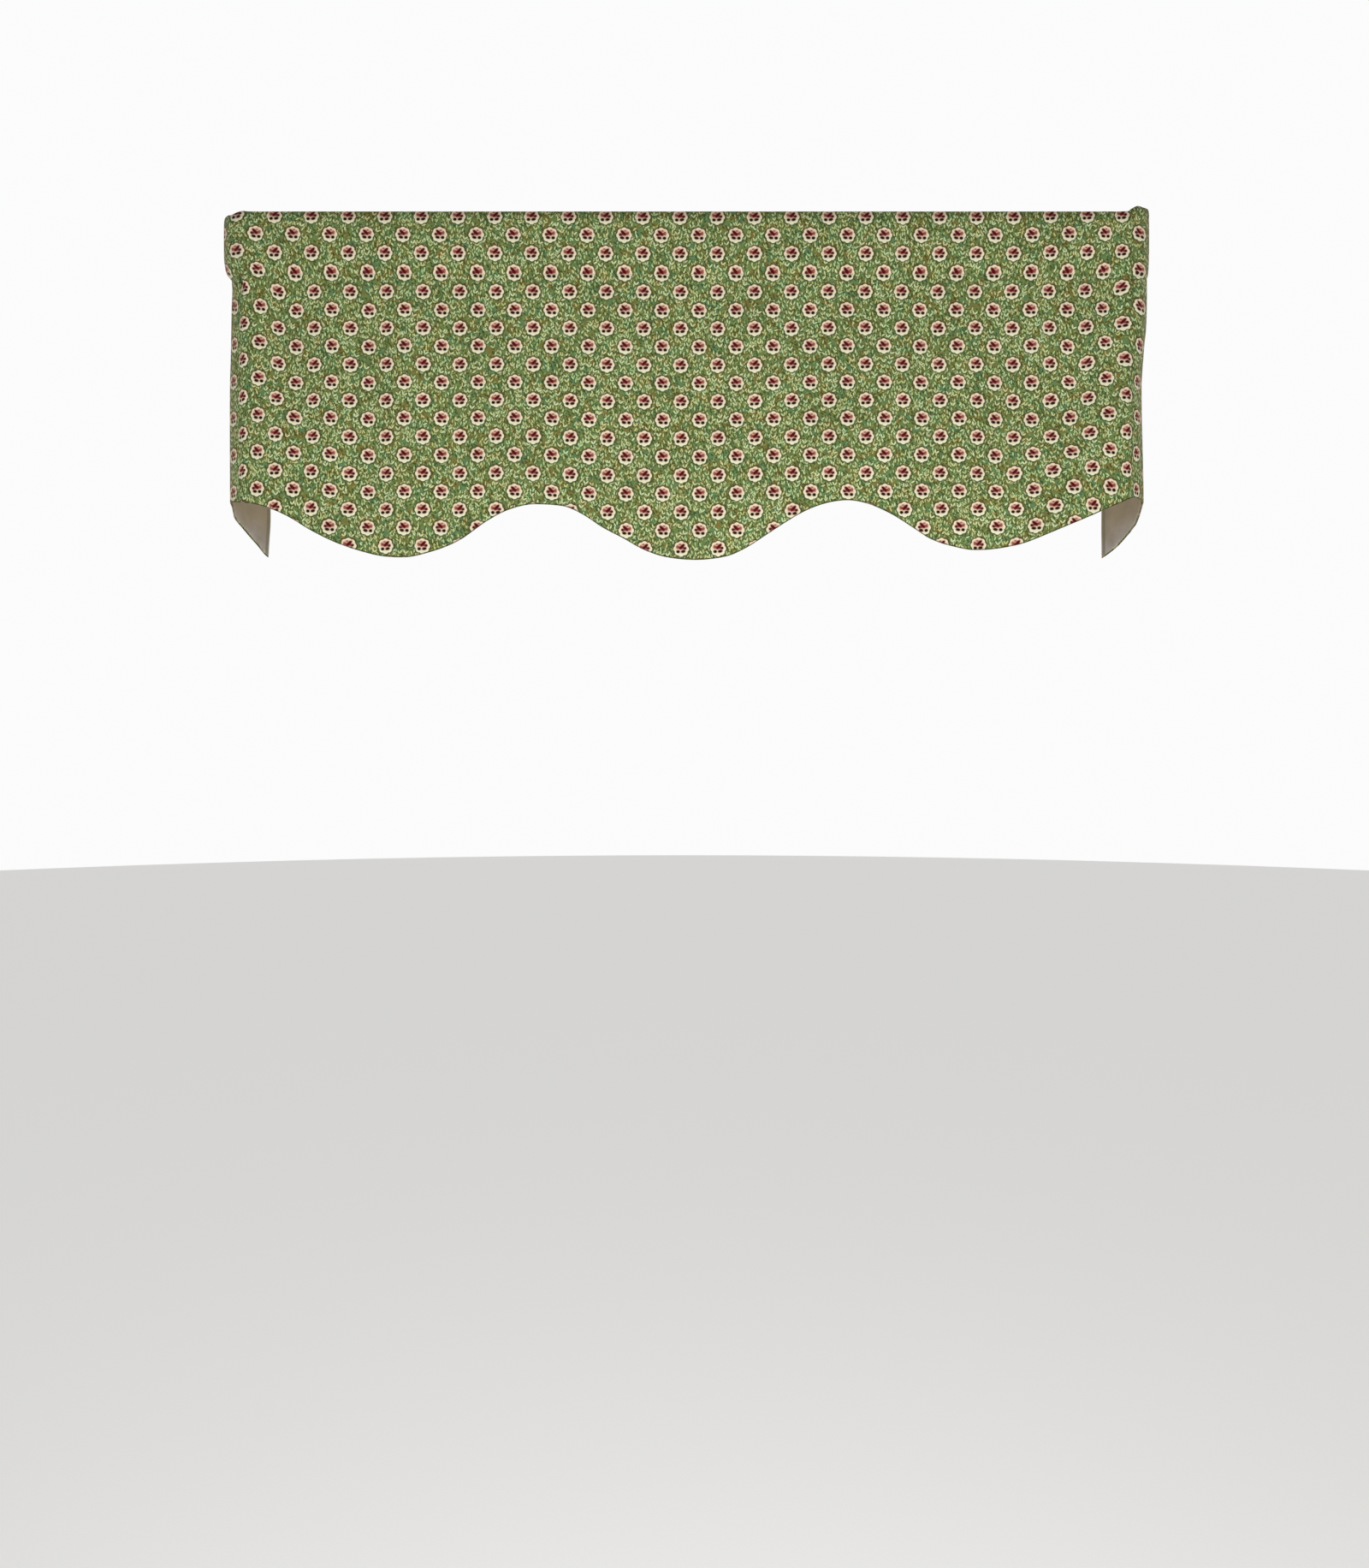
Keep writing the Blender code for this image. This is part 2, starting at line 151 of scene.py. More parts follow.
# --- how the cloth hangs ------------------------------------------------------------------------
@dataclass(frozen=True)
class HangingShape:
    """The valance's outline and folds, which the face cloth and the lining share."""

    half_width: float = 0.575  # from the middle to the outside of each return
    return_depth: float = 0.114  # from the front of the cloth to the wall
    # seen from above, each corner is a rounded slant
    corner_width: float = 0.026
    corner_depth: float = 0.017
    corner_length: float = 0.0314  # round the corner
    corner_cut: float = 0.9  # 0 for a round corner, 1 for one cut straight across
    pocket_height: float = 0.076  # top edge to stitch line
    # how far the lower back corner of the left and the right return swings inwards
    return_lean: tuple[float, float] = (0.0113, 0.0129)
    left_flare: float = 0.003  # and how far the foot of the left one turns out again
    front_y: float = -0.0015

    # (along, down) of the scalloped lower edge
    hem: Line = Line((
        (-681, 405.5), (-668, 401.6), (-654, 395), (-641, 390.3), (-624, 384), (-611, 380),
        (-600, 377), (-592.4, 374), (-588.5, 370), (-585.5, 362), (-581.7, 357.5), (-574, 357),
        (-560, 359), (-547, 361), (-534, 363), (-517, 368), (-496, 377),
        (-466, 395), (-436, 410), (-400, 422), (-371, 428), (-350, 429), (-320, 423), (-282, 408),
        (-244, 382), (-218, 369), (-186, 363), (-154, 365), (-129, 375), (-103, 392), (-78, 405),
        (-53, 419), (-27, 428), (11, 432), (49, 428), (75, 417), (100, 401), (126, 384), (151, 370),
        (177, 361), (202, 358), (228, 363), (253, 374), (279, 390), (304, 406), (330, 415),
        (360, 420), (387, 418), (420, 411), (441, 403), (470, 391), (501, 378), (528, 366),
        (543, 360), (562, 353), (572, 353.5), (580, 357), (583.3, 361), (586.4, 365.5),
        (589.7, 370), (594.2, 374.3), (598.2, 378.3), (606.8, 382.3), (614.6, 386), (628, 391),
        (641, 396), (660, 401.5), (681, 406.5),
    ))
    # (along, lift) of the pocket's top edge, which peaks in a small dog-ear at the right corner
    top_lift: Line = Line((
        (-681, 0), (-600, 2.5), (-582, 3), (-576, 3), (-571, 1.3), (-566, 1), (-561, 1.2),
        (-555, 1.1), (-549, 0.6), (-542, 0), (545, 0), (549, 0.2), (552, 2.5), (555, 4.5),
        (560, 8.3), (563, 9.4), (568.5, 9.8), (574, 10.7), (580, 11.8), (600, 11.8), (630, 6),
        (681, 3),
    ))
    # (along, out) of the stitch line
    seam_out: Line = Line((
        (-681, -4.6), (-580, -4.6), (-568, -3), (-550, -0.6), (-540, 0), (545, 0), (580, 4.4),
        (681, 4.4),
    ))
    # (down, out) of each return below the pocket
    left_side: Line = Line((
        (84, -5.2), (90, -5.2), (107, -4.5), (141, -3.9), (175, -3.2), (210, -2.3), (244, -2.1),
        (346, -2.4), (400, -2.9),
    ))
    right_side: Line = Line((
        (83, 4.5), (107, 4.4), (124, 4), (141, 3.2), (158, 1.3), (175, 0), (192, -1.3),
        (210, -2.2), (244, -2), (278, -1.2), (312, -0.4), (346, 0.1), (364, 0), (400, 0.3),
    ))
    folds: tuple[Fold, ...] = (
        Fold((  # left corner trough
            (82, -541, 30, -1), (100, -534, 36, -3.5), (162, -513, 40, -5), (236, -493, 44, -4.5),
            (300, -482, 46, -3), (360, -474, 46, -1),
        )),
        Fold((  # left first ridge
            (84, -446, 36, 0), (130, -444, 40, 2.2), (240, -441, 42, 2.6), (400, -438, 46, 1.5),
        )),
        Fold((  # left second trough
            (84, -396, 36, 0), (130, -395, 38, -2.4), (300, -394, 40, -2.6), (420, -390, 44, -1.2),
        )),
        Fold((  # left second ridge
            (84, -347, 36, 0), (120, -347, 38, 1.5), (260, -346, 40, 1.2), (420, -346, 44, 0.4),
        )),
        Fold((  # left third trough
            (90, -296, 36, 0), (160, -293, 42, -1.3), (300, -290, 42, -1.4), (400, -288, 42, -0.4),
        )),
        Fold((  # middle trough
            (100, 131, 50, 0), (150, 128, 54, -1.2), (230, 86, 56, -1.2), (330, 80, 56, 0),
        )),
        Fold((  # right far trough
            (120, 296, 40, 0), (200, 296, 42, -1.6), (280, 296, 44, -0.8), (380, 298, 44, 0),
        )),
        Fold((  # right far ridge
            (84, 349, 34, 0), (120, 349, 36, 1.8), (300, 349, 38, 1.8), (400, 352, 40, 0.6),
        )),
        Fold((  # right spot
            (84, 410, 36, 0), (136, 407, 40, -2.8), (200, 402, 42, -0.8), (250, 398, 42, 0),
        )),
        Fold((  # right fan ridge
            (82, 500, 30, 0), (100, 492, 36, 3), (162, 476, 40, 3.4), (247, 449, 42, 3),
            (332, 412, 44, 1.4), (400, 385, 44, 0),
        )),
        Fold((  # right corner trough
            (82, 541, 26, 0), (110, 534, 34, -4), (184, 527, 40, -5.4), (247, 500, 44, -5),
            (311, 462, 46, -3.6), (390, 425, 46, -1),
        )),
        Fold((  # right corner foot
            (290, 549, 26, 0), (335, 546, 34, 1.8), (370, 544, 34, 1.6),
        )),
    )
    # (along, down, reach along, reach down, out) of the small tucks pinched at the pocket's corners
    tucks: Rows = ((-560, 94, 15, 14, -2), (-556, 84, 6.5, 9, -5.5), (566, 84, 14, 12, -1.5))
    hang_rows: tuple[float, float] = (78, 92)  # from the stitch line to where the cloth hangs freely
    lean_rows: tuple[float, float] = (76, 340)  # the returns swing in more and more between these
    lean_power: float = 2.0
    flare_rows: tuple[float, float] = (350, 405)
    pucker: float = 0.32  # height of the little gathers beside the stitch line, in millimetres
    pucker_reach: float = 6.0  # where they are highest, from the stitch line
    pucker_pitches: tuple[float, float, float] = (5.5, 11.0, 55.0)  # small, large, and how they vary
    ripple: float = 0.45  # height of the uneven waves that the turned lower edge makes
    ripple_reach: float = 26.0
    ripple_pitches: tuple[float, float] = (24.0, 10.0)
    # sections of each half: along the front, up to the corner, round it, and along the return
    sections: tuple[int, int, int, int] = (106, 14, 20, 20)

    @property
    def front_half(self) -> float:
        """From the middle to the start of each corner."""
        return self.half_width - self.corner_width

    @property
    def corner_end(self) -> float:
        """From the middle, round the corner, to the start of each return."""
        return self.front_half + self.corner_length

    @property
    def cloth_end(self) -> float:
        """From the middle to the cloth's end at the wall."""
        return self.corner_end + self.return_depth - self.corner_depth

    def place(self, along: Array, down: Array, out: Array) -> Array:
        """Places on the cloth as points in space.

        Args:
            along: along the plan line, in metres.
            down: below the top edge, in metres.
            out: outwards from the plan line, in metres.

        Returns:
            an array of points, its last axis x, y and z
        """
        side, distance = np.sign(along), np.abs(along)
        turn = np.clip((distance - self.front_half) / self.corner_length, 0, 1)
        beyond = np.maximum(distance - self.corner_end, 0)
        sine, cosine = np.sin(turn * math.pi / 2), np.cos(turn * math.pi / 2)
        ahead = (1 - self.corner_cut) * sine + self.corner_cut * turn
        aside = (1 - self.corner_cut) * (1 - cosine) + self.corner_cut * turn
        x = side * (np.minimum(distance, self.front_half) + self.corner_width * ahead)
        y = self.front_y + self.corner_depth * aside + beyond
        x = x + out * side * sine
        y = y - out * cosine
        return np.stack(np.broadcast_arrays(x, y, -down), axis=-1)

    def side_share(self, along: Array) -> Array:
        """0 on the front and 1 on the returns, with a smooth change round the corner."""
        return ease(np.abs(along), self.front_half - self.corner_depth, self.corner_end)

    def hem_drop(self, along: Array) -> Array:
        """How far the scalloped edge lies below the top edge, in metres."""
        return self.hem.at(along / MM) * MM

    def seam(self, along: Array) -> Array:
        """How far the pocket's stitch line stands out, in metres."""
        return self.seam_out.at(along / MM) * MM

    def lift(self, along: Array) -> Array:
        """How far the pocket's top edge stands up, in metres."""
        return self.top_lift.at(along / MM) * MM

    def gathers(self, along: Array, from_seam: Array) -> Array:
        """The little gathers that the pocket's stitching draws into the cloth.

        Args:
            along: along the plan line, in metres.
            from_seam: distance from the stitch line, in metres.

        Returns:
            how far they stand out, in millimetres
        """
        s, d = along / MM, np.abs(from_seam) / MM / self.pucker_reach
        small, large, varied = self.pucker_pitches
        wave = 0.6 * wander(s, small, 3) + 0.4 * wander(s, large, 4)
        strong = 0.35 + 0.65 * ease(wander(s, varied, 5), -0.6, 0.8)
        return self.pucker * wave * strong * d * np.exp(1 - d)

    def tucked(self, along: Array, down: Array) -> Array:
        """How far the tucks draw the cloth out, in millimetres, at places given in metres."""
        return sum(
            out * fade(np.hypot((along / MM - a) / across, (down / MM - d) / upright), 1.0)
            for a, d, across, upright, out in self.tucks
        )

    def out(self, along: Array, down: Array) -> Array:
        """How far the hanging cloth stands out from the plan line.

        Args:
            along: along the plan line, in metres.
            down: below the top edge, in metres.

        Returns:
            the distance in metres
        """
        s, t = along / MM, down / MM
        out = sum(fold.out(s, t) for fold in self.folds)
        out = out * (1 - ease(np.abs(along), self.front_half, self.corner_end))
        side = np.where(along < 0, self.left_side.at(t), self.right_side.at(t))
        out = out + self.side_share(along) * side
        hang = ease(t, *self.hang_rows)
        back = np.maximum(np.abs(along) - self.corner_end, 0) / (self.cloth_end - self.corner_end)
        reach = np.where(along < 0, *self.return_lean)
        lean = reach * back ** self.lean_power * ease(t, *self.lean_rows)
        lean = lean - self.left_flare * back * (along < 0) * ease(t, *self.flare_rows)
        from_hem = (self.hem_drop(along) - down) / MM
        large, small = self.ripple_pitches
        wave = 0.6 * wander(s, large, 7) + 0.4 * wander(s, small, 8)
        fine = self.ripple * wave * np.exp(-np.maximum(from_hem, 0) / self.ripple_reach)
        fine = fine + self.gathers(along, down - self.pocket_height) + self.tucked(along, down)
        return (out * hang + self.seam_out.at(s) * (1 - hang) + fine) * MM - lean

    def stations(self, edge: Array) -> Array:
        """Places along the cloth where its sections are taken.

        Args:
            edge: distances from each end at which extra sections round the cut edge.

        Returns:
            distances along the plan line, from the left end to the right one
        """
        ends = (
            0, self.front_half - self.corner_width, self.front_half, self.corner_end,
            self.cloth_end - edge[-1],
        )
        half = [np.linspace(*span)[1:] for span in zip(ends, ends[1:], self.sections)]
        half = np.concatenate([[0.0], *half, self.cloth_end - edge[-2::-1]])
        return np.concatenate([-half[:0:-1], half])


# --- cloth as meshes ----------------------------------------------------------------------------
def new_piece(name: str, points: Array, faces: Array, uv: Array) -> bpy.types.Object:
    """Make a smooth object.

    Args:
        name: the piece's name.
        points: its points, in metres.
        faces: the numbers of each face's four points.
        uv: the cloth's own coordinates at each point, in metres.

    Returns:
        the object
    """
    mesh = bpy.data.meshes.new(name)
    mesh.from_pydata(points.tolist(), [], faces.tolist())
    layer = mesh.uv_layers.new(name="cloth")
    layer.data.foreach_set("uv", uv[faces.ravel()].astype(np.float32).ravel())
    mesh.polygons.foreach_set("use_smooth", np.ones(len(faces), dtype=bool))
    mesh.update()
    piece = bpy.data.objects.new(name, mesh)
    bpy.context.collection.objects.link(piece)
    return piece


@dataclass(frozen=True)
class Sheet:
    """A sheet of cloth with rounded edges, given by its middle surface on a grid of places."""

    name: str
    thickness: float

    @property
    def edge(self) -> Array:
        """Distances from an edge at which the sheet's rounding is sampled."""
        return self.thickness / 2 * np.array([0.0, 0.13, 0.5, 1.0])

    def half_thickness(self, from_end: Array, columns: int) -> Array:
        """Half the sheet's thickness, which falls to nothing in a half circle at all four edges.

        Args:
            from_end: how far each station is from the nearer end, in metres, as a column.
            columns: how many places each station's section has.

        Returns:
            half the thickness at each place, in metres
        """
        inside = np.ones(columns - 2 * len(self.edge))
        distance = np.minimum(from_end, np.concatenate([self.edge, inside, self.edge[::-1]]))
        radius = self.thickness / 2
        depth = 1 - np.clip(distance / radius, 0, 1)
        return radius * np.sqrt(np.maximum(1 - depth * depth, 0))

    def build(self, middle: Array, half: Array, uv: Array) -> bpy.types.Object:
        """Make the mesh.

        Args:
            middle: the middle surface's points, along by across by 3.
            half: half the thickness at each.
            uv: the cloth's own coordinates at each, in metres.

        Returns:
            the object, with the faces of its right side first
        """
        normal = np.cross(np.gradient(middle, axis=0), np.gradient(middle, axis=1))
        normal /= np.maximum(np.linalg.norm(normal, axis=2, keepdims=True), 1e-12)
        rise = normal * half[..., None]
        points = np.concatenate([(middle + rise).reshape(-1, 3), (middle - rise).reshape(-1, 3)])
        index = np.arange(half.size).reshape(half.shape)
        corners = index[:-1, :-1], index[1:, :-1], index[1:, 1:], index[:-1, 1:]
        right = np.stack(corners, axis=-1).reshape(-1, 4)
        faces = np.concatenate([right, right[:, ::-1] + half.size])
        return new_piece(self.name, points, faces, np.tile(uv.reshape(-1, 2), (2, 1)))

    def mark(self, piece: bpy.types.Object, name: str, share: Array) -> None:
        """Keep a share, such as of wear, at each place of the sheet's grid for its material to read."""
        layer = piece.data.attributes.new(name, "FLOAT", "POINT")
        layer.data.foreach_set("value", np.tile(share.ravel(), 2).astype(np.float32))


# --- shader nodes -------------------------------------------------------------------------------
def linear(hex_colour: str) -> tuple[float, float, float, float]:
    """An sRGB hex colour as the linear RGBA that a shader takes."""
    channels = [int(hex_colour[i:i + 2], 16) / 255 for i in (1, 3, 5)]
    return (*(c / 12.92 if c <= 0.04045 else ((c + 0.055) / 1.055) ** 2.4 for c in channels), 1.0)


MAIN_OPTION = {
    "Math": "operation", "VectorMath": "operation", "Mix": "data_type", "Mapping": "vector_type",
    "MapRange": "interpolation_type", "VectorRotate": "rotation_type",
}


def node(tree: bpy.types.NodeTree, kind: str, *inputs: object, **settings: object) -> object:
    """Add one shader node.

    Args:
        tree: the material's node tree.
        kind: the node's type without its ShaderNode, then, after a space, its main option.
        inputs: what each input takes in turn: an output to link, a value, a hex colour, or None.
        settings: the node's other options.

    Returns:
        its output, or the list of them where it has several
    """
    kind, _, option = kind.partition(" ")
    made = tree.nodes.new(f"ShaderNode{kind}")
    if option:
        setattr(made, MAIN_OPTION[kind], option)
    for name, value in settings.items():
        setattr(made, name, value)
    for socket, value in zip([s for s in made.inputs if s.enabled], inputs):
        if isinstance(value, Socket):
            tree.links.new(value, socket)
        elif value is not None:
            socket.default_value = linear(value) if isinstance(value, str) else value
    outputs = [s for s in made.outputs if s.enabled]
    return outputs[0] if len(outputs) == 1 else outputs


def new_material(name: str) -> tuple[bpy.types.Material, Adder]:
    """Start a material.

    Args:
        name: its name.

    Returns:
        the material, and the function that adds a node to it
    """
    material = bpy.data.materials.new(name)
    material.use_nodes = True
    return material, partial(node, material.node_tree)


def weave_height(add: Adder, pitch: float, slub: float) -> Socket:
    """The relief of a plain weave, from crossing threads that are each a little uneven.

    Args:
        add: adds a node to the material.
        pitch: the distance between threads, in metres.
        slub: how far the threads wander, as a share of the pitch.

    Returns:
        the height, between -1 and 1
    """
    place = add("UVMap", uv_map="cloth")
    uneven = add("TexNoise", place, 90.0, 2.0, 0.6)[1]
    moved = add("VectorMath MULTIPLY_ADD", uneven, (pitch * slub,) * 3, place)
    turns = add("VectorMath MULTIPLY", moved, (math.pi / pitch,) * 3)
    wave = add("VectorMath SINE", turns)
    u, v, _ = add("SeparateXYZ", wave)
    return add("Math MULTIPLY", u, v)


def finish_surface(
    material: bpy.types.Material, colour: Socket, values: dict[str, float],
    height: Socket | None = None, depth: float = 0.0,
) -> None:
    """Lead a colour and a relief into a material's surface shader.

    Args:
        material: the material.
        colour: the output that gives the colour.
        values: what the shader's sockets are set to, by their names.
        height: the output that gives the relief, between -1 and 1, if it has one.
        depth: how high the relief is, in metres.
    """
    tree = material.node_tree
    shader = tree.nodes["Principled BSDF"]
    tree.links.new(colour, shader.inputs["Base Color"])
    for name, value in values.items():
        shader.inputs[name].default_value = value
    if height is not None:
        bump = tree.nodes.new("ShaderNodeBump")
        bump.inputs["Distance"].default_value = depth
        tree.links.new(height, bump.inputs["Height"])
        tree.links.new(bump.outputs["Normal"], shader.inputs["Normal"])


# --- finishes -----------------------------------------------------------------------------------
class ClothSide(Enum):
    """Which side of a printed cloth a face shows."""

    RIGHT = "right"
    WRONG = "wrong"
    HEM = "hem"  # the fold of it, painted in shade


@dataclass(frozen=True)
class Blot:
    """One spot of ink on a flower: a soft-edged oval in millimetres from the flower's middle."""

    across: float
    down: float
    turn: float  # degrees
    half_length: float
    half_width: float
    colour: str
    cover: float = 1.0


@dataclass(frozen=True)
class Leaves:
    """One scatter of small leaves: a leaf, or a pair of them, in each cell of a grid."""

    cell: tuple[float, float]  # across and down, in millimetres
    turn: float  # of the whole grid, in degrees, so that the scatters' grids don't show
    length: float
    width: float
    lean: float  # the mean angle from upright, in degrees
    share: float  # the share of cells that have one
    pale: str
    deep: str
    pair: float = 0.0  # half the angle of a pair that meets at its foot; 0 for a single leaf
    cover: float = 1.0
    edge: float = 0.85  # how dark the line round each leaf is


@dataclass(frozen=True)
class PrintedCotton:
    """Cotton lawn in plain weave, rotary printed with a small flower in half-drop repeat.

    The ink is matt and sits in the threads, so the cloth has no gloss, and light breaks on the weave.
    """

    repeat: float = 45.9 * MM  # from flower to flower along a row
    row: float = 22.68 * MM  # from row to row; each row is moved half a repeat, and mirrored
    first_across: float = -6.5 * MM
    first_down: float = 6.5 * MM
    # The cloth's grain was pulled as it was sewn and hung: (down, then for each place along the cloth
    # how far the print is moved to the right and down), all in millimetres.
    grain: tuple[tuple[float, Rows], ...] = (
        (45, (
            (-580, -3, -12), (-557, 0.2, -4), (-530, 2, 0.5), (-440, 1.8, 1.3), (-300, 0, 1.8),
            (-100, -1, 2.4), (0, -0.8, 2.8), (200, 0, 2.4), (400, -0.8, 2.6), (460, -0.8, 0.8),
            (510, -1.6, 0.3), (545, -4.8, 0), (562, -5.2, -2.6), (585, -1.5, -3),
        )),
        (105, (
            (-580, 5, -9), (-555, 8, -5), (-528, 5, -4.2), (-498, 6, 3.9), (-440, 4, 2.7),
            (-300, 1.8, 2.4), (-100, -0.2, 2.6), (0, 0, 3.2), (200, -0.4, 2.2), (360, -2.8, 3),
            (420, -1.8, 1.4), (480, -3.8, 2.8), (515, -4.8, 0.8), (545, -3, -4.4),
            (562, -0.5, -5.2), (585, 1, -5),
        )),
        (175, (
            (-575, 9, -4.2), (-528, 4, -4.8), (-500, 4.3, 0.6), (-465, 5.4, 3.2), (-420, 3.5, 2.1),
            (-300, 1.8, 1.7), (-100, 0.4, 2.4), (0, 0, 3.2), (200, 0, 1.4), (360, -1.3, 2.4),
            (440, -0.5, 1.1), (480, -3.8, 4.6), (512, 1, -3.6), (545, 2, -6.6), (562, 5, -3.4),
            (580, 3, -2),
        )),
        (258, (
            (-575, 8, -2.6), (-528, 3, -3.8), (-495, 0.9, -2.6), (-463, 3.4, 0.9), (-420, 2, 1.2),
            (-300, 1.5, 0.4), (-220, 1, -0.3), (-110, 1.1, 2.3), (0, 0.8, 2.8), (130, 0.5, 0.9),
            (300, 1.2, 0.4), (380, 0.2, 2.2), (440, -1.6, 3.3), (480, 2.4, -1.3), (512, 4, -5.6),
            (545, 4.3, -6.2), (580, 2, -4),
        )),
        (322, (
            (-575, 9, -0.8), (-528, 2.2, -3.2), (-480, 0.6, -2.6), (-450, 1, -1), (-426, 2.3, 1.5),
            (-300, 1.5, 0.9), (-220, 0.4, 0.2), (-110, 1, 3.2), (0, 0.7, 3.8), (130, 0.8, 1),
            (300, 0.7, 0.3), (400, 0.2, 2.2), (440, 2.4, -2.5), (480, 5.9, -5.5), (515, 6, -6.6),
            (545, 3.6, -4), (565, -4, -3), (590, -4, -3),
        )),
        (390, (
            (-575, 6, 0), (-528, 1, -2.2), (-460, 0.3, -1.2), (-400, 1.3, 0), (-220, 0.5, 0.6),
            (-110, 1.7, 3.6), (0, 0.8, 3.8), (130, 1.4, 2.1), (230, 3, 1), (360, 2.2, -0.8),
            (410, 4, -1), (444, 5.6, -3.8), (481, 8, -5.8), (545, 5, -1), (570, -9, -2),
        )),
    )
    # 0.35 mm between the real threads; drawn twice as coarse, so that a close view shows it
    thread_pitch: float = 0.7 * MM
    thread_height: float = 0.06 * MM
    slub: float = 0.35  # how far its threads wander, as a share of their pitch
    ground: str = "#667B45"
    ground_olive: str = "#74703F"
    ground_cool: str = "#607D58"
    tint_olive: str = "#FFF0DE"
    tint_cool: str = "#EAF8F4"
    patch_scale: float = 0.085  # for each millimetre: olive and cool patches are about 12 mm wide
    outline: tuple[str, str] = ("#4A3F20", "#3A421C")  # at the flower's top and at its foot
    cream: tuple[str, str] = ("#E2CEB2", "#DAD8B8")
    wrong_cover: float = 0.55  # the wrong side is bare cotton with the ink showing through
    wrong_cotton: str = "#D8D3B4"
    hem_cover: float = 0.75  # in the hem's fold no light gets past the turned edge
    hem_dark: str = "#33321F"
    rubbed_and_reflected: str = "#8B7C6B"  # where the printed face has rubbed off the threads; the same pale brownish tone paints the light reflected on the turned corners
    rub_and_reflection: float = 0.5
    rub_and_reflection_scale: float = 60.0  # for each metre, so the rubbing is uneven over about 17 mm
    painted_shade_tint: str = "#959081"  # painted shade: the colour that the fold along the top and the pinched corners are multiplied by
    dye_scale: float = 14.0  # the dye took unevenly over about 70 mm
    dye_range: tuple[float, float] = (0.95, 1.05)
    radius: float = 8.5  # of the flower's pale ground, in millimetres, between its scallops
    scallops: int = 8
    scallop: float = 1.2
    outline_move: Point = (-0.35, 0.35, 0.0)  # the dark screen printed a little off the pale one
    leaf_edge: str = "#343F1B"
    # how far out the ink of a leaf and of a blot is full, and gone, as shares of the oval's size
    leaf_ink: tuple[float, float] = (0.7, 1.25)
    blot_ink: tuple[float, float] = (0.7, 1.3)
    sway: float = 70.0  # how far the sprigs' direction turns from place to place, in degrees
    sway_scale: float = 0.05  # for each millimetre, so it turns over about 20 mm
    scatter_spread: float = 44.0  # how far each leaf's own angle varies, in degrees
    stray: float = 0.36  # how widely leaves lie about the middle of their cell, as a share of it
    thin: float = 0.18  # how far the share of cells with a leaf varies
    thin_scale: float = 0.055
    pair_foot: float = 0.42  # where a pair's foot is, as a share of its leaves' length
    pair_gap: float = 0.2  # between a pair's foot and its leaves, in millimetres
    pair_whole: float = 0.27  # a pair whose draw, from -0.5 to 0.5, is beyond this has lost a leaf
    leaves: tuple[Leaves, ...] = (
        Leaves((4.4, 4.6), 20, 5.0, 2.0, 25, 0.7, "#4A552F", "#394723", edge=0.0),
        Leaves((5.2, 5.4), -14, 5.0, 2.0, -35, 0.55, "#849558", "#72874C", edge=0.4),
        Leaves((6.2, 5.4), 26, 5.2, 2.1, -34, 0.42, "#B4C18C", "#8EA464"),
        Leaves((7.0, 5.6), 9, 5.4, 2.0, 0, 0.42, "#BCCA91", "#93A968", pair=31),
        Leaves((6.2, 5.8), -24, 5.2, 2.1, 34, 0.44, "#BAC78F", "#8EA464"),
        Leaves((7.8, 6.2), -11, 5.6, 2.0, 0, 0.42, "#CAD4A4", "#9EB177", pair=34),
        Leaves((6.8, 7.2), 38, 4.6, 1.4, -28, 0.5, "#424D25", "#37451D", edge=0.0),
        Leaves((9.0, 8.0), 12, 4.2, 2.0, 40, 0.3, "#9C814E", "#93684A", cover=0.45, edge=0.2),
    )
    blots: tuple[Blot, ...] = (
        Blot(-0.2, -0.5, 0, 6.9, 6.3, "#C09C84", 0.6),
        Blot(-1.0, -3.0, 0, 5.0, 3.4, "#BC7E70", 0.5),
        Blot(0.4, -0.6, 0, 3.4, 1.8, "#AC6458", 0.65),
        Blot(-4.6, -2.2, 80, 2.3, 1.7, "#824538", 0.9),
        Blot(-1.5, -5.5, 0, 1.5, 1.2, "#8A5044", 0.8),
        Blot(-2.1, -1.7, 20, 1.9, 1.6, "#7E222C", 0.9),
        Blot(1.1, -2.9, -47, 4.6, 2.0, "#4C060C"),
        Blot(4.6, -0.7, -15, 2.1, 1.8, "#4C1018"),
        Blot(2.7, -0.7, 0, 1.6, 1.1, "#6A2628", 0.8),
        Blot(-3.9, 3.5, 0, 2.3, 2.0, "#1C0C09"),
        Blot(2.5, 3.2, -12, 2.9, 1.9, "#2A0E0C"),
    )

    def pulled(self, along: Array, down: Array) -> tuple[Array, Array]:
        """How far the print is moved from its even rows.

        Args:
            along: along the plan line, in metres.
            down: below the top edge, in metres.

        Returns:
            the moves to the right and down, in metres
        """
        s, t = along / MM, down / MM
        downs = [row[0] for row in self.grain]
        moves = []
        for part in (1, 2):
            lines = [Line(tuple((p[0], p[part]) for p in row[1])).at(s) for row in self.grain]
            move = lines[0] + np.zeros_like(s + t)
            for i in range(1, len(lines)):
                move = move + (lines[i] - lines[i - 1]) * ease(t, downs[i - 1], downs[i])
            moves.append(move * MM)
        return moves[0], moves[1]

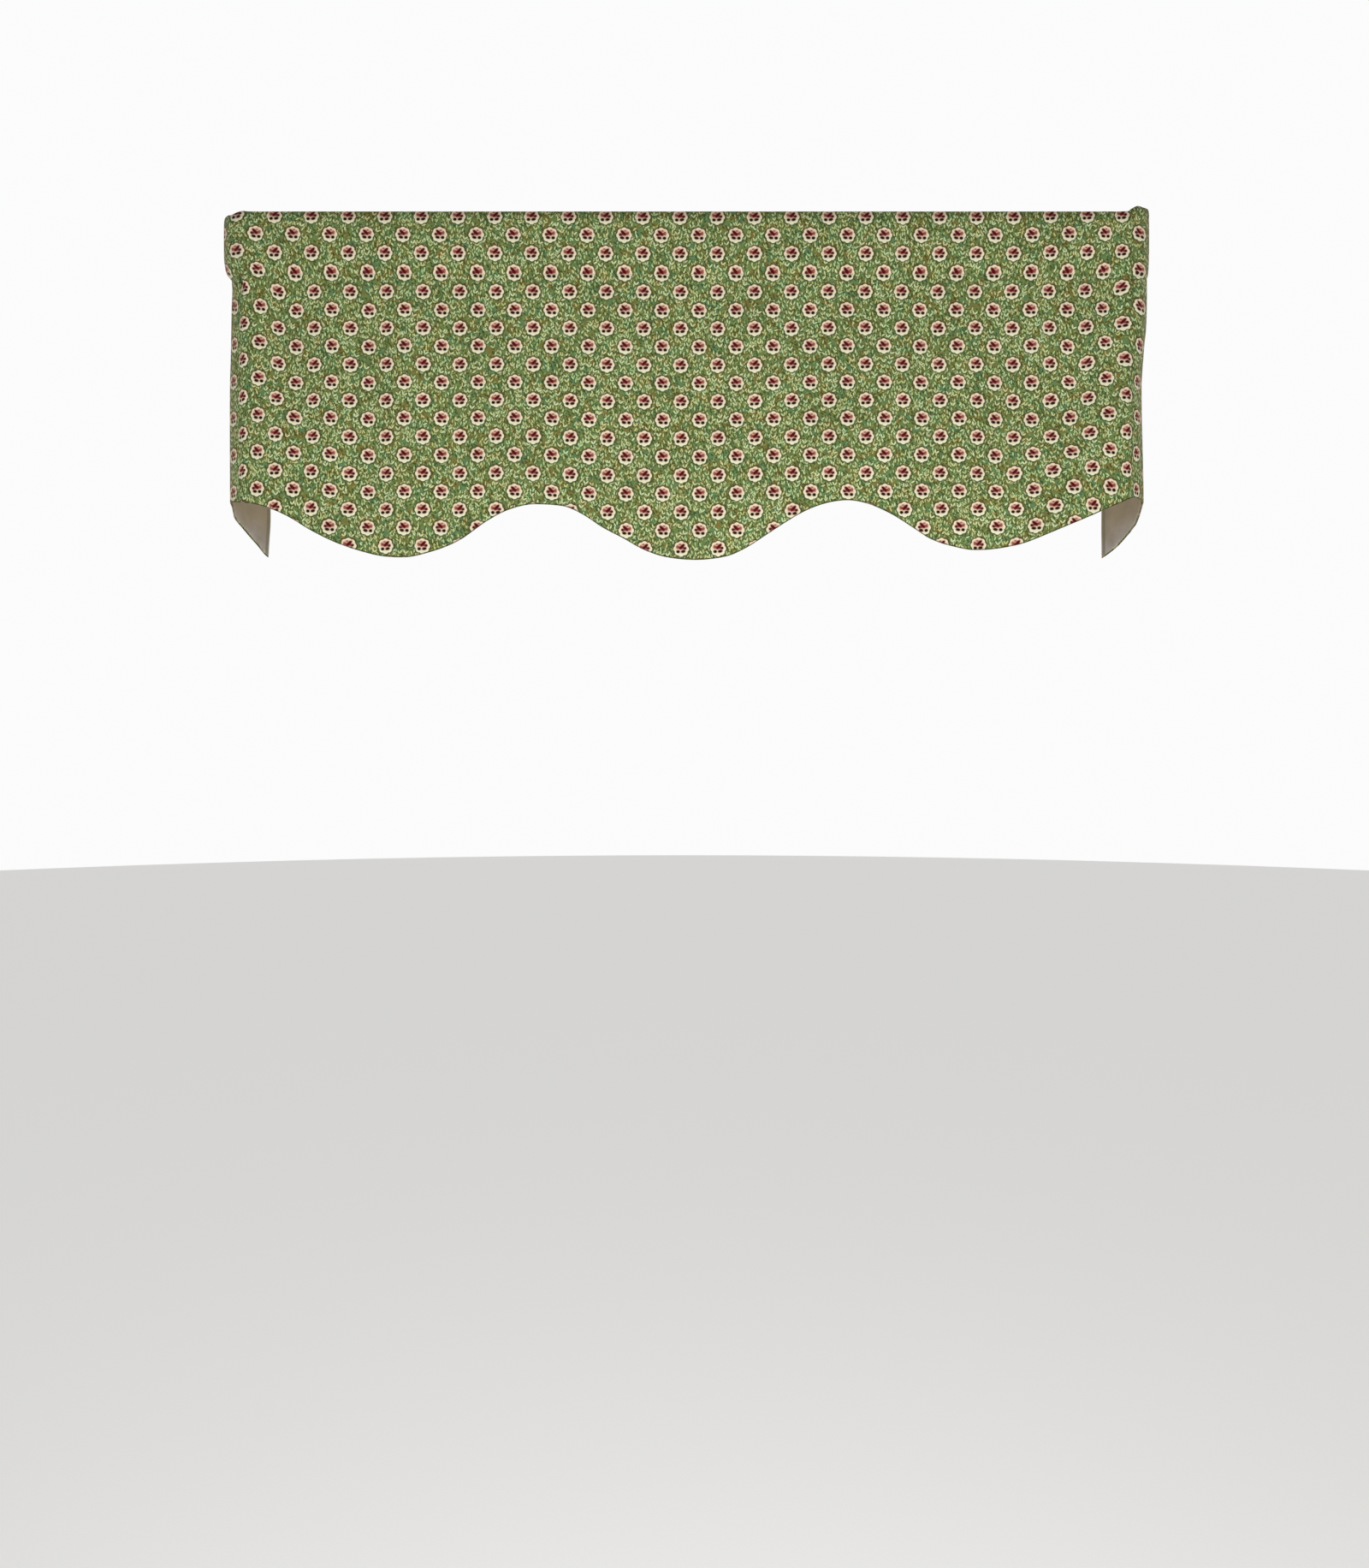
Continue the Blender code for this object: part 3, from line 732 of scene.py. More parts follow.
    def repeats(self, add: Adder, cloth: Socket) -> tuple[Socket, Socket]:
        """Places within the flower's repeat that a point of the cloth falls in.

        Args:
            add: adds a node to the material.
            cloth: the place on the cloth, in metres.

        Returns:
            across and down from the middle of that repeat, in millimetres
        """
        u, v, _ = add("SeparateXYZ", cloth)
        place = add("Math MULTIPLY_ADD", v, 1 / self.row, 0.5 - self.first_down / self.row)
        count = add("Math FLOOR", place)
        odd = add("Math FLOORED_MODULO", count, 2.0)
        down = add("Math SUBTRACT", place, count)
        down = add("Math MULTIPLY_ADD", down, self.row / MM, -0.5 * self.row / MM)
        place = add("Math MULTIPLY_ADD", u, 1 / self.repeat, 0.5 - self.first_across / self.repeat)
        place = add("Math MULTIPLY_ADD", odd, -0.5, place)
        across = add("Math FRACT", place)
        across = add("Math SUBTRACT", across, 0.5)
        mirror = add("Math MULTIPLY_ADD", odd, -2 * self.repeat / MM, self.repeat / MM)
        return add("Math MULTIPLY", across, mirror), down

    def scatter(self, add: Adder, under: Socket, leaves: Leaves, place: Socket, seed: int) -> Socket:
        """Print one scatter of leaves over a colour.

        Args:
            add: adds a node to the material.
            under: the colour below it.
            leaves: what the scatter is like.
            place: the place on the cloth, in millimetres.
            seed: which of many such scatters.

        Returns:
            the colour with the leaves
        """
        cell = leaves.cell
        turned = add("VectorRotate Z_AXIS", place, (0, 0, 0), math.radians(leaves.turn))
        scale = (1 / cell[0], 1 / cell[1], 0.0)
        grid = add("VectorMath MULTIPLY_ADD", turned, scale, (50.0, 50.0, seed + 0.5))
        count = add("VectorMath FLOOR", grid)
        inside = add("VectorMath SUBTRACT", grid, count)
        chance, mixed = add("TexWhiteNoise", count)
        first, second, third = add("SeparateColor", mixed)
        moved = (self.stray, self.stray, 0.0)
        least = (0.5 - self.stray / 2, 0.5 - self.stray / 2, 0.5)
        jitter = add("VectorMath MULTIPLY_ADD", mixed, moved, least)
        local = add("VectorMath SUBTRACT", inside, jitter)
        local = add("VectorMath MULTIPLY", local, (*cell, 0.0))
        middle = add("VectorMath MULTIPLY", count, (*cell, 9.0))
        flow = add("TexNoise", middle, self.sway_scale, 1.0, 0.5)[0]
        spread = math.radians(self.scatter_spread)
        start = math.radians(leaves.lean - self.sway / 2) - spread / 2
        angle = add("Math MULTIPLY_ADD", flow, math.radians(self.sway), start)
        angle = add("Math MULTIPLY_ADD", third, spread, angle)
        local = add("VectorRotate Z_AXIS", local, (0, 0, 0), angle)
        if leaves.pair:
            local = add("VectorMath SUBTRACT", local, (0, leaves.length * self.pair_foot, 0))
            x, y, _ = add("SeparateXYZ", local)
            side = add("Math SIGN", x)
            fallen = add("Math SUBTRACT", second, 0.5)
            fallen = add("Math MULTIPLY", fallen, side)
            both = add("Math LESS_THAN", fallen, self.pair_whole)
            x = add("Math ABSOLUTE", x)
            local = add("CombineXYZ", x, y, 0.0)
            local = add("VectorRotate Z_AXIS", local, (0, 0, 0), -math.radians(leaves.pair))
            local = add("VectorMath ADD", local, (0, leaves.length / 2 + self.pair_gap, 0))
        local = add("VectorMath DIVIDE", local, (leaves.width / 2, leaves.length / 2, 1.0))
        shape = add("VectorMath LENGTH", local)
        thick = add("TexNoise", middle, self.thin_scale, 1.0, 0.5)[0]
        few, many = leaves.share * (1 - self.thin), leaves.share * (1 + self.thin)
        share = add("MapRange", thick, 0.38, 0.62, few, many)
        there = add("Math LESS_THAN", chance, share)
        if leaves.pair:
            there = add("Math MULTIPLY", there, both)
        if leaves.edge:
            edge = add("MapRange SMOOTHSTEP", shape, 1.0, 2.0, leaves.edge, 0.0)
            edge = add("Math MULTIPLY", edge, there)
            under = add("Mix RGBA", edge, under, self.leaf_edge)
        ink = add("MapRange SMOOTHSTEP", shape, *self.leaf_ink, leaves.cover, 0.0)
        ink = add("Math MULTIPLY", ink, there)
        colour = add("Mix RGBA", first, leaves.pale, leaves.deep)
        return add("Mix RGBA", ink, under, colour)

    def flower(self, add: Adder, under: Socket, place: tuple[Socket, Socket]) -> Socket:
        """Print the flower over a colour.

        Args:
            add: adds a node to the material.
            under: the colour below it.
            place: across and down within the repeat, in millimetres.

        Returns:
            the colour with the flower
        """
        across, down = place
        point = add("CombineXYZ", across, down, 0.0)
        distance = add("VectorMath LENGTH", point)
        angle = add("Math ARCTAN2", down, across)
        lobe = add("Math MULTIPLY", angle, self.scallops / 2)
        lobe = add("Math COSINE", lobe)
        lobe = add("Math ABSOLUTE", lobe)
        over = add("Math MULTIPLY_ADD", lobe, -self.scallop, distance)
        around = add("VectorMath ADD", point, self.outline_move)
        around = add("VectorMath LENGTH", around)
        shade = add("Math MULTIPLY_ADD", lobe, -self.scallop, around)
        ring = add("MapRange SMOOTHSTEP", shade, self.radius + 0.4, self.radius + 3.2, 0.9, 0.0)
        foot = add("MapRange", down, -7.0, 6.0, 0.0, 1.0)
        outline = add("Mix RGBA", foot, *self.outline)
        colour = add("Mix RGBA", ring, under, outline)
        cream = add("Mix RGBA", foot, *self.cream)
        disc = add("MapRange SMOOTHSTEP", over, self.radius - 0.5, self.radius + 0.4, 1.0, 0.0)
        colour = add("Mix RGBA", disc, colour, cream)
        for blot in self.blots:
            local = add(
                "Mapping TEXTURE", point, (blot.across, blot.down, 0.0),
                (0.0, 0.0, math.radians(blot.turn)), (blot.half_length, blot.half_width, 1.0),
            )
            size = add("VectorMath LENGTH", local)
            ink = add("MapRange SMOOTHSTEP", size, *self.blot_ink, blot.cover, 0.0)
            colour = add("Mix RGBA", ink, colour, blot.colour)
        return colour

    def patches(self, add: Adder, point: Socket) -> tuple[Socket, Socket]:
        """Where the ground and its leaves turn olive or cooler.

        Args:
            add: adds a node to the material.
            point: the place on the cloth, in millimetres.

        Returns:
            the share of olive and the share of cool green
        """
        olive = add("TexNoise", point, self.patch_scale, 1.0, 0.5)[0]
        olive = add("MapRange", olive, 0.45, 0.63, 0.0, 1.0)
        moved = add("VectorMath ADD", point, (40.0, 70.0, 9.0))
        cool = add("TexNoise", moved, self.patch_scale, 1.0, 0.5)[0]
        return olive, add("MapRange", cool, 0.47, 0.65, 0.0, 1.0)

    def rub_and_shade(self, add: Adder, colour: Socket, cloth: Socket) -> Socket:
        """Rub the cloth pale along its corner creases, which also paints reflected light there, and
        paint shade into its folds.

        Args:
            add: adds a node to the material.
            colour: the colour of the new cloth.
            cloth: the place on the cloth, in metres.

        Returns:
            the colour of the used cloth, with its painted light and shade
        """
        # the corner creases: partly wear, partly painted light reflected on the turned corners
        rubbed_and_reflected = add("Attribute", attribute_name="rubbed_and_reflected")[2]
        uneven = add("TexNoise", cloth, self.rub_and_reflection_scale, 3.0, 0.6)[0]
        uneven = add("MapRange", uneven, 0.35, 0.65, 0.6 * self.rub_and_reflection, self.rub_and_reflection)
        rubbed_and_reflected = add("Math MULTIPLY", rubbed_and_reflected, uneven)
        colour = add("Mix RGBA", rubbed_and_reflected, colour, self.rubbed_and_reflected)
        # painted shade: darker in the fold along the top and in the pinched corners
        painted_shade = add("Attribute", attribute_name="painted_shade")[2]
        return add("Mix RGBA", painted_shade, colour, self.painted_shade_tint, blend_type="MULTIPLY")

    def material(self, side: ClothSide) -> bpy.types.Material:
        """The finish of one side of the cloth.

        Args:
            side: the printed side, its back where the ink shows through paler, or the fold of the
                hem, where the ink looks darkest as no light gets past the turned edge.

        Returns:
            the material
        """
        material, add = new_material(f"printed_cotton_{side.value}_side")
        cloth = add("UVMap", uv_map="cloth")
        place = add("VectorMath MULTIPLY", cloth, (1 / MM,) * 3)
        olive, cool = self.patches(add, place)
        colour = add("Mix RGBA", olive, self.ground, self.ground_olive)
        colour = add("Mix RGBA", cool, colour, self.ground_cool)
        for seed, leaves in enumerate(self.leaves):
            colour = self.scatter(add, colour, leaves, place, seed)
        colour = add("Mix RGBA", olive, colour, self.tint_olive, blend_type="MULTIPLY")
        colour = add("Mix RGBA", cool, colour, self.tint_cool, blend_type="MULTIPLY")
        colour = self.flower(add, colour, self.repeats(add, cloth))
        if side is ClothSide.WRONG:
            colour = add("Mix RGBA", self.wrong_cover, colour, self.wrong_cotton)
        if side is ClothSide.HEM:
            colour = add("Mix RGBA", self.hem_cover, colour, self.hem_dark)
        colour = self.rub_and_shade(add, colour, cloth)
        dye = add("TexNoise", cloth, self.dye_scale, 2.0, 0.5)[0]
        dye = add("MapRange", dye, 0.3, 0.7, *self.dye_range)
        colour = add("VectorMath SCALE", colour, dye)
        height = weave_height(add, self.thread_pitch, self.slub)
        values = {
            "Roughness": 0.9, "Specular IOR Level": 0.1, "Sheen Weight": 0.02, "Sheen Roughness": 0.5,
        }
        finish_surface(material, colour, values, height, self.thread_height)
        return material


@dataclass(frozen=True)
class PlainLining:
    """Unbleached cotton lining in plain weave, with a dull face and a few thicker threads."""

    # 0.4 mm between the real threads; drawn twice as coarse, so that a close view shows it
    thread_pitch: float = 0.8 * MM
    thread_height: float = 0.07 * MM
    slub: float = 0.5
    # how often the thicker threads change along and down the cloth, for each metre: they are about
    # 55 mm long and 1 mm thick
    thick_scale: Point = (18.0, 900.0, 1.0)
    thick: float = 0.6  # how much they take of the darker shade
    cloud_scale: float = 38.0  # the yarn's own colour changes over about 26 mm
    cloud: float = 0.6
    colour: str = "#94856B"
    shade: str = "#83765E"
    lit_foot: str = "#A29992"  # painted light: paler and greyer along its foot, where more light reaches the lining than higher up in the face cloth's shade
    lit_foot_rows: tuple[float, float] = (0.352, 0.398)
    lit_foot_sway: float = 0.04  # how far its upper limit wanders up and down
    hem_shadow: str = "#6E6853"  # painted shadow: a dark line along each side hem
    hem_shadow_rows: tuple[float, float, float, float] = (0.0095, 0.007, 0.0035, 0.0015)  # from the end

    def material(self, side_edge: float) -> bpy.types.Material:
        """The lining's finish, the same on both sides.

        Args:
            side_edge: the distance along the cloth of each of the lining's side edges, in metres.

        Returns:
            the material
        """
        material, add = new_material("plain_cotton_lining")
        cloth = add("UVMap", uv_map="cloth")
        threads = add("VectorMath MULTIPLY", cloth, self.thick_scale)
        thick = add("TexNoise", threads, 1.0, 2.0, 0.6)[0]
        thick = add("MapRange", thick, 0.58, 0.8, 0.0, self.thick)
        cloud = add("TexNoise", cloth, self.cloud_scale, 3.0, 0.5)[0]
        cloud = add("MapRange", cloud, 0.38, 0.7, 0.0, self.cloud)
        along, down, _ = add("SeparateXYZ", cloth)
        uneven = add("TexNoise", cloth, 30.0, 2.0, 0.5)[0]
        down = add("Math MULTIPLY_ADD", uneven, self.lit_foot_sway, down)
        start, end = (row + self.lit_foot_sway / 2 for row in self.lit_foot_rows)
        # painted light: the lining turns paler along its foot
        share = add("MapRange SMOOTHSTEP", down, start, end, 0.0, 1.0)
        colour = add("Mix RGBA", share, self.colour, self.lit_foot)
        colour = add("Mix RGBA", cloud, colour, self.shade)
        colour = add("Mix RGBA", thick, colour, self.shade)
        from_end = add("Math ABSOLUTE", along)
        from_end = add("Math SUBTRACT", side_edge, from_end)
        # painted shadow along each side hem, near the lining's end
        start, full, part, gone = self.hem_shadow_rows
        inner = add("MapRange SMOOTHSTEP", from_end, start, full, 0.0, 0.75)
        outer = add("MapRange SMOOTHSTEP", from_end, part, gone, 1.0, 0.0)
        hem = add("Math MULTIPLY", inner, outer)
        colour = add("Mix RGBA", hem, colour, self.hem_shadow)
        height = weave_height(add, self.thread_pitch, self.slub)
        values = {"Roughness": 0.9, "Specular IOR Level": 0.2, "Sheen Weight": 0.08}
        finish_surface(material, colour, values, height, self.thread_height)
        return material


@dataclass(frozen=True)
class SewingThread:
    """Twisted polyester sewing thread in the ground's green: smoother than the cloth round it."""

    colour: str = "#5F7445"
    dark: str = "#47592F"
    twist: float = 0.9 * MM  # length of one turn of the thread's plies
    ply_height: float = 0.04 * MM

    def material(self) -> bpy.types.Material:
        """The thread's finish: the plies drawn as slanted bands, with painted shade in the grooves
        between them.

        Returns:
            the material
        """
        material, add = new_material("sewing_thread")
        cloth = add("UVMap", uv_map="cloth")
        u, v, _ = add("SeparateXYZ", cloth)
        turn = add("Math MULTIPLY", u, 2 * math.pi / self.twist)
        turn = add("Math MULTIPLY_ADD", v, 2 * math.pi, turn)
        ply = add("Math SINE", turn)
        share = add("MapRange", ply, -1.0, 1.0, 0.0, 1.0)
        # painted shade: darker where the relief is lowest, in the grooves between the plies
        colour = add("Mix RGBA", share, self.dark, self.colour)
        values = {"Roughness": 0.6, "Specular IOR Level": 0.4}
        finish_surface(material, colour, values, ply, self.ply_height)
        return material


@dataclass(frozen=True)
class StudioPaper:
    """Matt white background paper: even and without gloss, so that it keeps to itself."""

    colour: str = "#FBFAF8"
    fibre: str = "#F3F2EF"

    def material(self) -> bpy.types.Material:
        """The floor's finish.

        Returns:
            the material
        """
        material, add = new_material("studio_paper")
        place = add("TexCoord")[3]
        share = add("TexNoise", place, 260.0, 2.0, 0.6)[0]
        share = add("MapRange", share, 0.3, 0.7, 0.0, 0.25)
        colour = add("Mix RGBA", share, self.colour, self.fibre)
        finish_surface(material, colour, {"Roughness": 0.95})
        return material


# --- the valance's pieces -----------------------------------------------------------------------
@dataclass(frozen=True)
class FaceCloth:
    """The printed cloth: its front, its returns, and the pocket that its turned top edge makes."""

    shape: HangingShape
    sheet: Sheet = Sheet("valance_face_cloth", 1.5 * MM)
    finish: PrintedCotton = PrintedCotton()
    pocket_depth: float = 0.015
    pocket_back: float = 0.0035  # the least that it reaches behind its stitch line
    bulge_front: float = 0.003
    bulge_left: float = 0.0054
    bulge_right: float = 0.0072
    seam_allowance: float = 0.004
    power_top: float = 4.5  # on the front; higher is squarer
    power_corner: float = 8.0
    power_foot: float = 2.6
    hem_fold: float = 0.0015  # how much of the hem's turned edge is painted in shade
    top_painted_shade: tuple[float, float, float] = (0.003, 0.016, 0.4)  # painted shade along the top fold: full to, gone at, how much
    # (along, down, reach along, reach down, how much) of the painted shade in the pinched corners
    pinch_painted_shade: Rows = ((-558, 82, 9, 8, 1.0), (-569, 84, 8, 6, 0.9), (556, 82, 10, 6, 0.35))
    # how far along each return's crease is rubbed, with painted reflected light there: from nothing to
    # full, and back to nothing
    rubbed_and_reflected_from: tuple[float, float] = (566, 577)
    rubbed_and_reflected_to: tuple[float, float] = (584, 604)
    ear_pinch: float = 0.1  # how much thinner the pocket is in the dog-ear
    ear_peak: float = 10.5
    body_rows: int = 62
    body_spread: float = 0.9  # its rows lie closer together towards the hem
    ribs: int = 22  # sections from the stitch line to the top edge, on each side of the pocket

    def pocket_halves(self, along: Array) -> tuple[Array, Array]:
        """How far the pocket reaches to the front and to the back of its stitch line.

        Args:
            along: along the plan line, in metres.

        Returns:
            the two distances, in metres
        """
        share = self.shape.side_share(along)
        side = np.where(along < 0, self.bulge_left, self.bulge_right)
        bulge = self.bulge_front * (1 - share) + side * share
        front = bulge - self.shape.seam(along) + self.sheet.thickness
        pinch = self.ear_pinch * ease(self.shape.top_lift.at(along / MM), 0, self.ear_peak)
        return front, np.maximum(self.pocket_depth * (1 - pinch) - front, self.pocket_back)

    def pocket(self, along: Array) -> tuple[Array, Array]:
        """The pocket's middle line at each station, from the stitch line over the top and back.

        Args:
            along: along the plan line, in metres, as a column.

        Returns:
            down and out of its points, in metres
        """
        seam, lift = self.shape.seam(along), self.shape.lift(along)
        height = self.shape.pocket_height
        radius = self.sheet.thickness / 2
        half_height = (height + lift) / 2 - radius
        downs, outs = [], []
        steps = np.linspace(0, 1, self.ribs + 1)
        share = self.shape.side_share(along)
        top = self.power_top * (1 - share) + self.power_corner * share
        for side, reach in zip((1, -1), self.pocket_halves(along)):
            first = np.arcsin((radius / (reach - radius)) ** (self.power_foot / 2))
            turn = first + (math.pi - first) * steps
            across, upright = np.sin(turn), np.cos(turn)
            power = np.where(upright > 0, 2 / self.power_foot, 2 / top)
            down = (height - lift) / 2 + np.sign(upright) * np.abs(upright) ** power * half_height
            out = side * np.abs(across) ** power * (reach - radius)
            downs.append(down)
            outs.append(out - self.sheet.thickness + seam)
        down = np.concatenate([downs[0], downs[1][:, -2::-1]], axis=1)
        out = np.concatenate([outs[0], outs[1][:, -2::-1]], axis=1)
        return down, out

    def age(self, piece: bpy.types.Object, along: Array, down: Array) -> None:
        """Mark the rubbed corners, which also carry painted reflected light, and the painted shade in
        the folds.

        Args:
            piece: the cloth's object.
            along: along the plan line, in metres, as a column.
            down: below the top edge, in metres.
        """
        s, t = along / MM, down / MM
        # the rubbed corners, which also carry painted reflected light
        rubbed_and_reflected = ease(abs(s), *self.rubbed_and_reflected_from) * (1 - ease(abs(s), *self.rubbed_and_reflected_to)) + 0 * t
        self.sheet.mark(piece, "rubbed_and_reflected", rubbed_and_reflected)
        # painted shade along the top fold and in the pinched corners, kept for the material to read
        from_top = down + self.shape.lift(along) - self.sheet.thickness / 2
        full, gone, most = self.top_painted_shade
        painted_shade = most * (1 - ease(from_top, full, gone))
        for a, d, across, upright, much in self.pinch_painted_shade:
            painted_shade = np.maximum(painted_shade, much * fade(np.hypot((s - a) / across, (t - d) / upright), 1.0))
        self.sheet.mark(piece, "painted_shade", painted_shade)

    def section(self, along: Array) -> tuple[Array, Array, Array]:
        """The cloth's section at each station, from the hem up the front and round the pocket.

        Args:
            along: along the plan line, in metres, as a column.

        Returns:
            down and out of its places, and how far down the flat cloth each of them is, in metres
        """
        edge, radius = self.sheet.edge, self.sheet.thickness / 2
        hem, height = self.shape.hem_drop(along), self.shape.pocket_height
        share = np.linspace(0, 1, self.body_rows + 1) ** self.body_spread
        rows = (hem - self.hem_fold) * (1 - share) + height * share
        body = np.concatenate([hem - edge, rows], axis=1)
        body_out = self.shape.out(along, body) - radius
        pocket_down, pocket_out = self.pocket(along)
        front = np.arange(pocket_down.shape[1]) <= self.ribs
        pocket_out = pocket_out + self.shape.gathers(along, height - pocket_down) * MM * front
        turned = height + self.seam_allowance - edge[::-1]
        turned = np.broadcast_to(turned, (len(along), len(edge)))
        turned_out = np.broadcast_to(self.shape.seam(along) - 3 * radius, turned.shape)
        down = np.concatenate([body[:, :-1], pocket_down, turned], axis=1)
        out = np.concatenate([body_out[:, :-1], pocket_out, turned_out], axis=1)
        start = body.shape[1] - 1
        steps = np.diff(self.shape.place(along, down, out)[:, start:], axis=1)
        run = np.cumsum(np.linalg.norm(steps, axis=2), axis=1)
        flat = np.concatenate([down[:, : start + 1], height - run], axis=1)
        out[:, start:] += self.shape.tucked(along, down[:, start:]) * MM
        return down, out, flat

    def build(self) -> bpy.types.Object:
        """Sweep the cloth's section along the plan line, and finish it.

        Returns:
            the cloth
        """
        along = self.shape.stations(self.sheet.edge)[:, None]
        down, out, flat = self.section(along)
        middle = self.shape.place(along, down, out)
        half = self.sheet.half_thickness(self.shape.cloth_end - np.abs(along), down.shape[1])
        right, lower = self.finish.pulled(along + np.zeros_like(flat), flat)
        piece = self.sheet.build(middle, half, np.stack([along - right, flat - lower], axis=-1))
        for side in ClothSide:
            piece.data.materials.append(self.finish.material(side))
        finish = np.zeros((2, middle.shape[0] - 1, middle.shape[1] - 1), dtype=np.int32)
        finish[1] = 1
        # the hem's turned edge takes the painted shade of the hem's fold
        finish[:, :, : len(self.sheet.edge)] = 2
        piece.data.polygons.foreach_set("material_index", finish.ravel())
        self.age(piece, along, down)
        return piece


@dataclass(frozen=True)
class Lining:
    """The plain cloth behind the face cloth, from the stitch line to the scalloped edge."""

    shape: HangingShape
    face_thickness: float = 1.5 * MM
    sheet: Sheet = Sheet("valance_lining", 1.0 * MM)
    finish: PlainLining = PlainLining()
    gap: float = 0.46 * MM
    top: float = 0.0806  # just under the pocket's turned edge
    set_up: float = 0.002  # it ends this far above the face cloth's edge
    rows: int = 60

    def build(self) -> bpy.types.Object:
        """Sweep the lining close behind the face cloth, and finish it.

        Returns:
            the lining
        """
        edge = self.sheet.edge
        end = self.shape.cloth_end - self.set_up
        stations = self.shape.stations(edge) * end / self.shape.cloth_end
        along = stations[:, None]
        foot = self.shape.hem_drop(along) - self.set_up
        share = np.linspace(0, 1, self.rows + 1)[1:-1]
        down = np.concatenate([
            foot - edge, (foot - edge[-1]) * (1 - share) + (self.top + edge[-1]) * share,
            np.broadcast_to(self.top + edge[::-1], (len(stations), len(edge))),
        ], axis=1)
        out = self.shape.out(along, down) - self.face_thickness - self.gap - self.sheet.thickness / 2
        middle = self.shape.place(along, down, out)
        half = self.sheet.half_thickness(end - np.abs(along), down.shape[1])
        uv = np.stack([np.broadcast_to(along, down.shape), down], axis=-1)
        piece = self.sheet.build(middle, half, uv)
        piece.data.materials.append(self.finish.material(end))
        return piece


@dataclass(frozen=True)
class PocketStitching:
    """The lockstitch row that closes the rod pocket, on the front and on the back."""

    shape: HangingShape
    face_thickness: float = 1.5 * MM
    finish: SewingThread = SewingThread()
    down: float = 0.0778  # where the needle goes through both layers
    pitch: float = 3.2 * MM
    stitch: float = 2.5 * MM
    radius: float = 0.2 * MM
    inset: float = 3.0 * MM  # from the cloth's ends to the row's
    sides: int = 6
    name: str = "valance_pocket_stitching"

    def build(self) -> bpy.types.Object:
        """Lay each stitch as a short thread that dips into the cloth at its ends.

        Returns:
            the row of stitches
        """
        end = self.shape.cloth_end - self.inset
        starts = np.arange(-end, end - self.stitch, self.pitch)
        steps = np.linspace(0, 1, 6)
        along = starts[:, None] + self.stitch * steps
        down = np.full_like(along, self.down)
        rise = (np.sin(np.pi * steps) ** 0.5 * 1.2 - 0.5) * self.radius
        front = self.shape.place(along, down, self.shape.out(along, down) + rise)
        back = self.shape.seam(along) - 2 * self.face_thickness - rise
        lines = np.concatenate([front, self.shape.place(along, down, back)])
        direction = lines[:, -1] - lines[:, 0]
        direction /= np.linalg.norm(direction, axis=1, keepdims=True)
        up = np.array((0, 0, 1.0))
        turns = np.linspace(0, 2 * math.pi, self.sides + 1)[:-1]
        side = np.cross(direction, up)[:, None] * np.cos(turns)[:, None]
        offset = (side + up * np.sin(turns)[:, None])[:, None] * self.radius
        points = lines[:, :, None] + offset
        uv = np.empty((*points.shape[:3], 2))
        uv[..., 0], uv[..., 1] = steps[:, None] * self.stitch, turns / (2 * math.pi)
        index = np.arange(uv[..., 0].size).reshape(uv.shape[:3])
        first, second = index[:, :-1], index[:, 1:]
        corners = first, np.roll(first, -1, axis=2), np.roll(second, -1, axis=2), second
        faces = np.stack(corners, axis=-1).reshape(-1, 4)
        piece = new_piece(self.name, points.reshape(-1, 3), faces, uv.reshape(-1, 2))
        piece.data.materials.append(self.finish.material())
        return piece


# --- studio -------------------------------------------------------------------------------------
@dataclass(frozen=True)
class Softbox:
    """A large soft light that points at the valance."""

    name: str
    place: Point
    width: float
    height: float
    power: float  # watts
    colour: str = "#FFFFFF"

    def build(self, target: Point) -> None:
        """Hang the light and point it.

        Args:
            target: the point that it faces.
        """
        data = bpy.data.lights.new(self.name, "AREA")
        data.shape = "RECTANGLE"
        data.size, data.size_y = self.width, self.height
        data.energy = self.power
        data.color = linear(self.colour)[:3]
        lamp = bpy.data.objects.new(self.name, data)
        lamp.location = self.place
        towards = np.array(target) - np.array(self.place)
        yaw = math.atan2(towards[1], towards[0]) - math.pi / 2
        pitch = math.atan2(towards[2], math.hypot(towards[0], towards[1]))
        lamp.rotation_euler = (math.pi / 2 + pitch, 0.0, yaw)
        lamp.visible_camera = False
        bpy.context.collection.objects.link(lamp)


